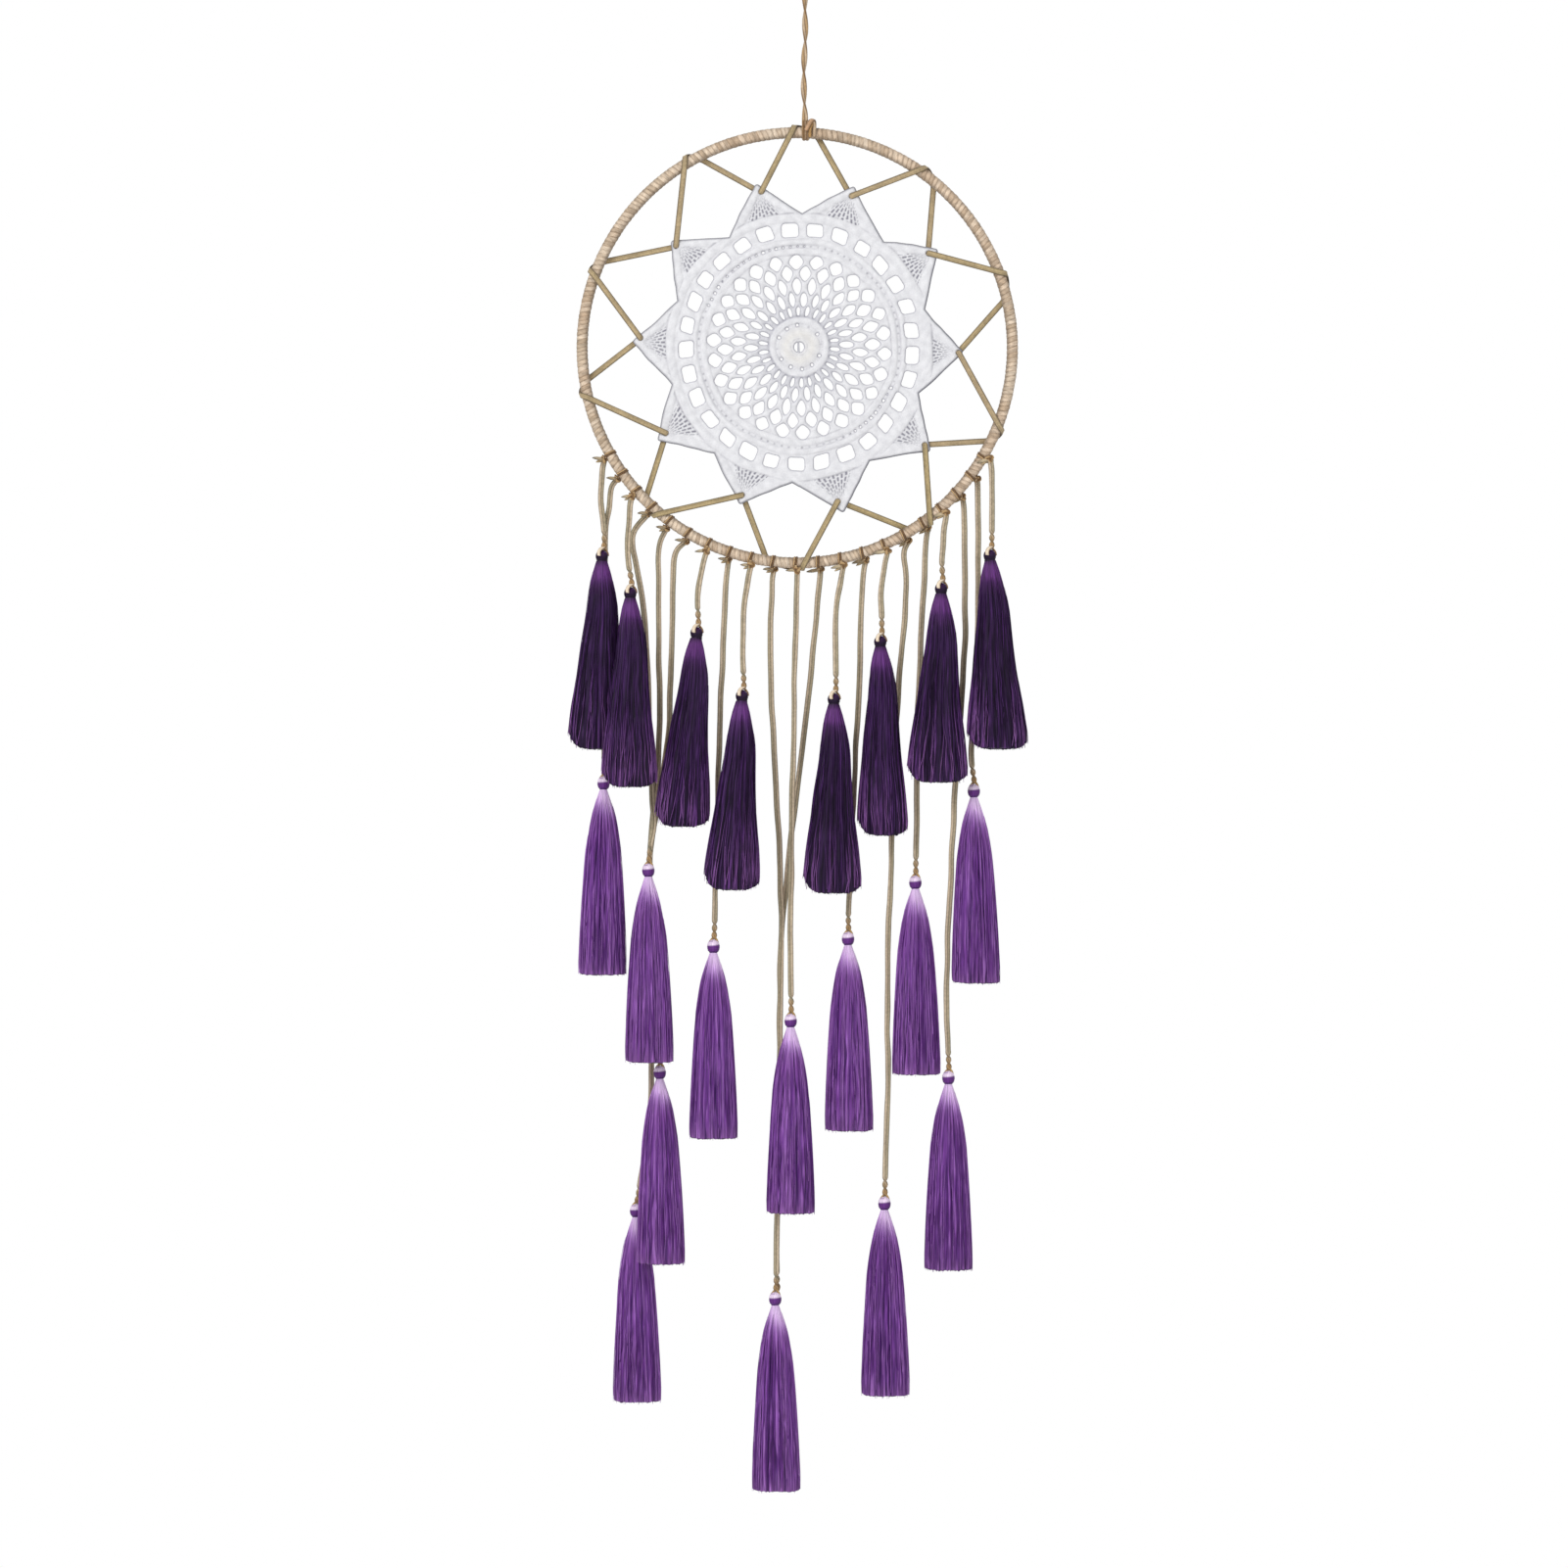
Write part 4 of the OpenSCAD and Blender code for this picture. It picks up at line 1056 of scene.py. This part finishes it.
def cut_ends(shell, n, rng, hem, hem_col, hem_lay):
    """Uneven cut ends of the strands, closing the skirt from below."""
    around = len(hem)
    middle = np.add(HEAD[n - 1], (*HEM_SHIFT[n - 1], -TASSEL_L))
    # painted shade underneath: the hem ring a fifth darker, the cut ends mixed towards near-black
    points, colours, lays = [hem], [hem_col * 0.8], [hem_lay]
    for k, lift in ((0.9, -0.2), (0.7, 0.5), (0.45, -0.3), (0.2, 0.3)):
        p = middle + (hem - middle) * k
        p[:, 2] = middle[2] + (hem[:, 2] - middle[2]) * k ** 2 + lift * 0.5 + rng.uniform(-0.5, 0.6, around)
        points.append(p)
        ends = skirt_colour(n, np.full(around, 88.0), 0, rng.uniform(-1, 1, around))
        colours.append(mix(ends, rgb(16, 8, 26), 0.55))
        lays.append(hem_lay + [0, 3 * k, 0])
    rings = len(points)
    j = np.arange(around)
    last = (rings - 1) * around
    fan = np.stack([last + j, last + (j + 1) % around, np.full(around, rings * around)], -1)
    shell.add(np.vstack(points + [middle]), ring_quads(rings, around)[:, ::-1],
              np.vstack(colours + [colours[-1][:1]]), np.vstack(lays + [lays[-1][:1]]), fan[:, ::-1])


def loose_strands(shell, n, rng):
    """Single strands over the skirt, some past the hem; a dark tassel's first ones are its pale tips."""
    dark = n <= DARK
    for i in range(150 if dark else 120):
        t0 = rng.uniform(0, 2 * np.pi)
        tip = dark and i < 70
        d0 = rng.uniform(50, 70) if tip else rng.uniform(9, 60)
        d1 = hem_depth(n, t0) + rng.uniform(-2.0, 1.1)
        if not tip and rng.random() < 0.4:
            d1 = min(d1, d0 + rng.uniform(18, 40))
        m = 14 if d1 - d0 > 25 else 9
        d = np.linspace(d0, d1, m)
        run = np.linspace(0, 1, m)
        spread = rng.uniform(-0.16, 0.16) if tip else 0
        t = t0 + 0.05 * smooth_noise(rng, m, 4) + spread * run ** 1.5
        lift = np.sin(np.pi * run) * rng.uniform(0.0, 0.12) + (0.06 if tip else -0.02)
        path = skirt_point(n, d, t, lift)
        shade = rng.uniform(-1, 1)
        c = skirt_colour(n, d, 0, np.full(m, 0.55 + 0.45 * abs(shade) if tip or shade > 0 else shade))
        if tip:
            c = mix(c, rgb(176, 120, 192), np.linspace(0.05, 0.62, m) * rng.uniform(0.4, 1))
        r = (0.19 if tip else 0.16) * np.interp(np.arange(m), [0, 2, m - 3, m - 1], [0.3, 1, 1, 0.5])
        out = unit((path - [HEAD[n - 1][0], HEAD[n - 1][1], 0]) * [1, 1, 0])
        side = np.cross(unit(np.gradient(path, axis=0)), out)
        corners = [path + (out * math.cos(w) + side * math.sin(w)) * r[:, None]
                   for w in 2 * np.pi * np.arange(3) / 3]
        shell.add(np.stack(corners, 1), ring_quads(m, 3), np.repeat(c, 3, 0),
                  np.repeat(silk_lay(n, t0, d), 3, 0))


# radius of the head by depth below its top
DARK_HEAD = [(0, 0.35), (0.25, 1.25), (0.9, 2.1), (1.7, 2.62), (2.6, 2.82), (3.5, 2.74), (4.3, 2.52),
             (4.8, 2.4), (5.3, 2.46), (5.8, 2.3), (6.4, 1.6)]
LIGHT_HEAD = [(0, 0.3), (0.2, 1.1), (0.8, 2), (1.7, 2.55), (2.7, 2.78), (3.6, 2.8), (4.4, 2.66), (5.2, 2.35),
              (5.7, 1.9), (6.1, 1.6), (7, 1.3)]


def wound_head(shell, n):
    """A ball of lengthwise strands over a neck bound round with thread."""
    dark = n <= DARK
    m = 44
    profile = resample([(a, b, 0) for a, b in (DARK_HEAD if dark else LIGHT_HEAD)], 0.22)
    d, w = np.broadcast_arrays(profile[:, :1], 2 * np.pi * np.arange(m)[None] / m)
    slant = d + 0.28 * np.cos(w - 0.6)
    bound = slant > (3.5 if dark else 2.6)
    thread = np.sin(d * 2 * np.pi / 0.85 + 0.6 * w)
    strand = np.sin(w * 16 + d * 1.5)
    r = np.maximum(profile[:, 1:2], 0.05) + np.where(bound, 0.09 * thread, 0.06 * strand * clip01(d / 1.5))
    x, y, z = HEAD[n - 1]
    v = np.stack([x + r * np.cos(w), y + r * np.sin(w) * 0.95, z - d], -1)
    if dark:
        col = mix(rgb(66, 32, 82), rgb(24, 10, 34), np.where(bound, 0.9, d / 4))
    else:
        # the pale top is partly the strands' pale lilac and partly a painted highlight from above
        col = mix(rgb(250, 228, 255), rgb(104, 48, 132), (slant - 2.1) / 0.7)
        col = mix(col, rgb(66, 26, 96), (slant - 4.6) / 1.2)
        band = clip01(1 - np.abs(slant - 0.5) / 0.35) * (np.cos(w) < -0.1)
        col = mix(col, rgb(120, 64, 150), band * 0.8)
    # painted shade in the grooves between the wound threads and between the strands
    col = col * (1 - 0.11 * (1 - np.where(bound, thread, strand)))[..., None]
    shell.add(v, ring_quads(len(d), m)[:, ::-1], col, np.stack([w * 3, d, 0 * d], -1))


def suede_loop(n):
    """The string's lower end, looped round the tassel's head."""
    shell = Shell()
    if n <= DARK:
        # the front loop is the lace painted much paler, a painted highlight
        routes = [([(0.9, -0.1, 1.2), (0.2, -1.2, 0.9), (-0.7, -2.1, 0.2), (-1.25, -2.75, -0.9),
                    (-1.3, -2.85, -1.8), (-1.2, -2.5, -2.5)], (-0.45, -0.85, 0.25),
                   lace_section(2.0, 0.8), lace_colour(rgb(244, 226, 200), rgb(120, 84, 52), 4)),
                  ([(0.6, 0.6, 0.9), (1.5, 0.9, 0.2), (2.5, 0.8, -1.2), (2.75, 0.4, -2.6)], (0.7, -0.5, 0.5),
                   lace_section(1.2, 0.8, 8, 0.85), lace_colour(GOLD, GOLD_DARK, 2))]
    else:
        routes = [([(0.3, 0, 1.2), (0.3 + side * 0.7, -side * 0.2, 0.5),
                    (0.2 + side * 1.4, -side * 0.2, -0.45), (side * 1.9, -side * 0.2, -1.5)], (0, -1, 0.6),
                   lace_section(1.1, 0.9, 8, 0.85), lace_colour(rgb(196, 160, 100), GOLD_DARK, 2))
                  for side in (-1, 1)]
    for route, facing, section, colour in routes:
        sweep(shell, resample(np.array(route) + HEAD[n - 1], 0.3), facing, section, colour)
    shell.build("tassel_%02d_loop" % n, suede, "drop_%02d" % n)


def tassel_piece(n):
    rng = np.random.default_rng(500 + n)
    shell = Shell()
    hem = furrowed_skirt(shell, n, rng)
    cut_ends(shell, n, rng, *hem)
    loose_strands(shell, n, rng)
    wound_head(shell, n)
    material, slot = (silk_dark, "dark_silk") if n <= DARK else (silk, "light_silk")
    shell.build("tassel_%02d_silk" % n, material, "drop_%02d" % n, ["tassel_%02d" % n])
    suede_loop(n)


for number in range(1, TASSELS + 1):
    tassel_piece(number)
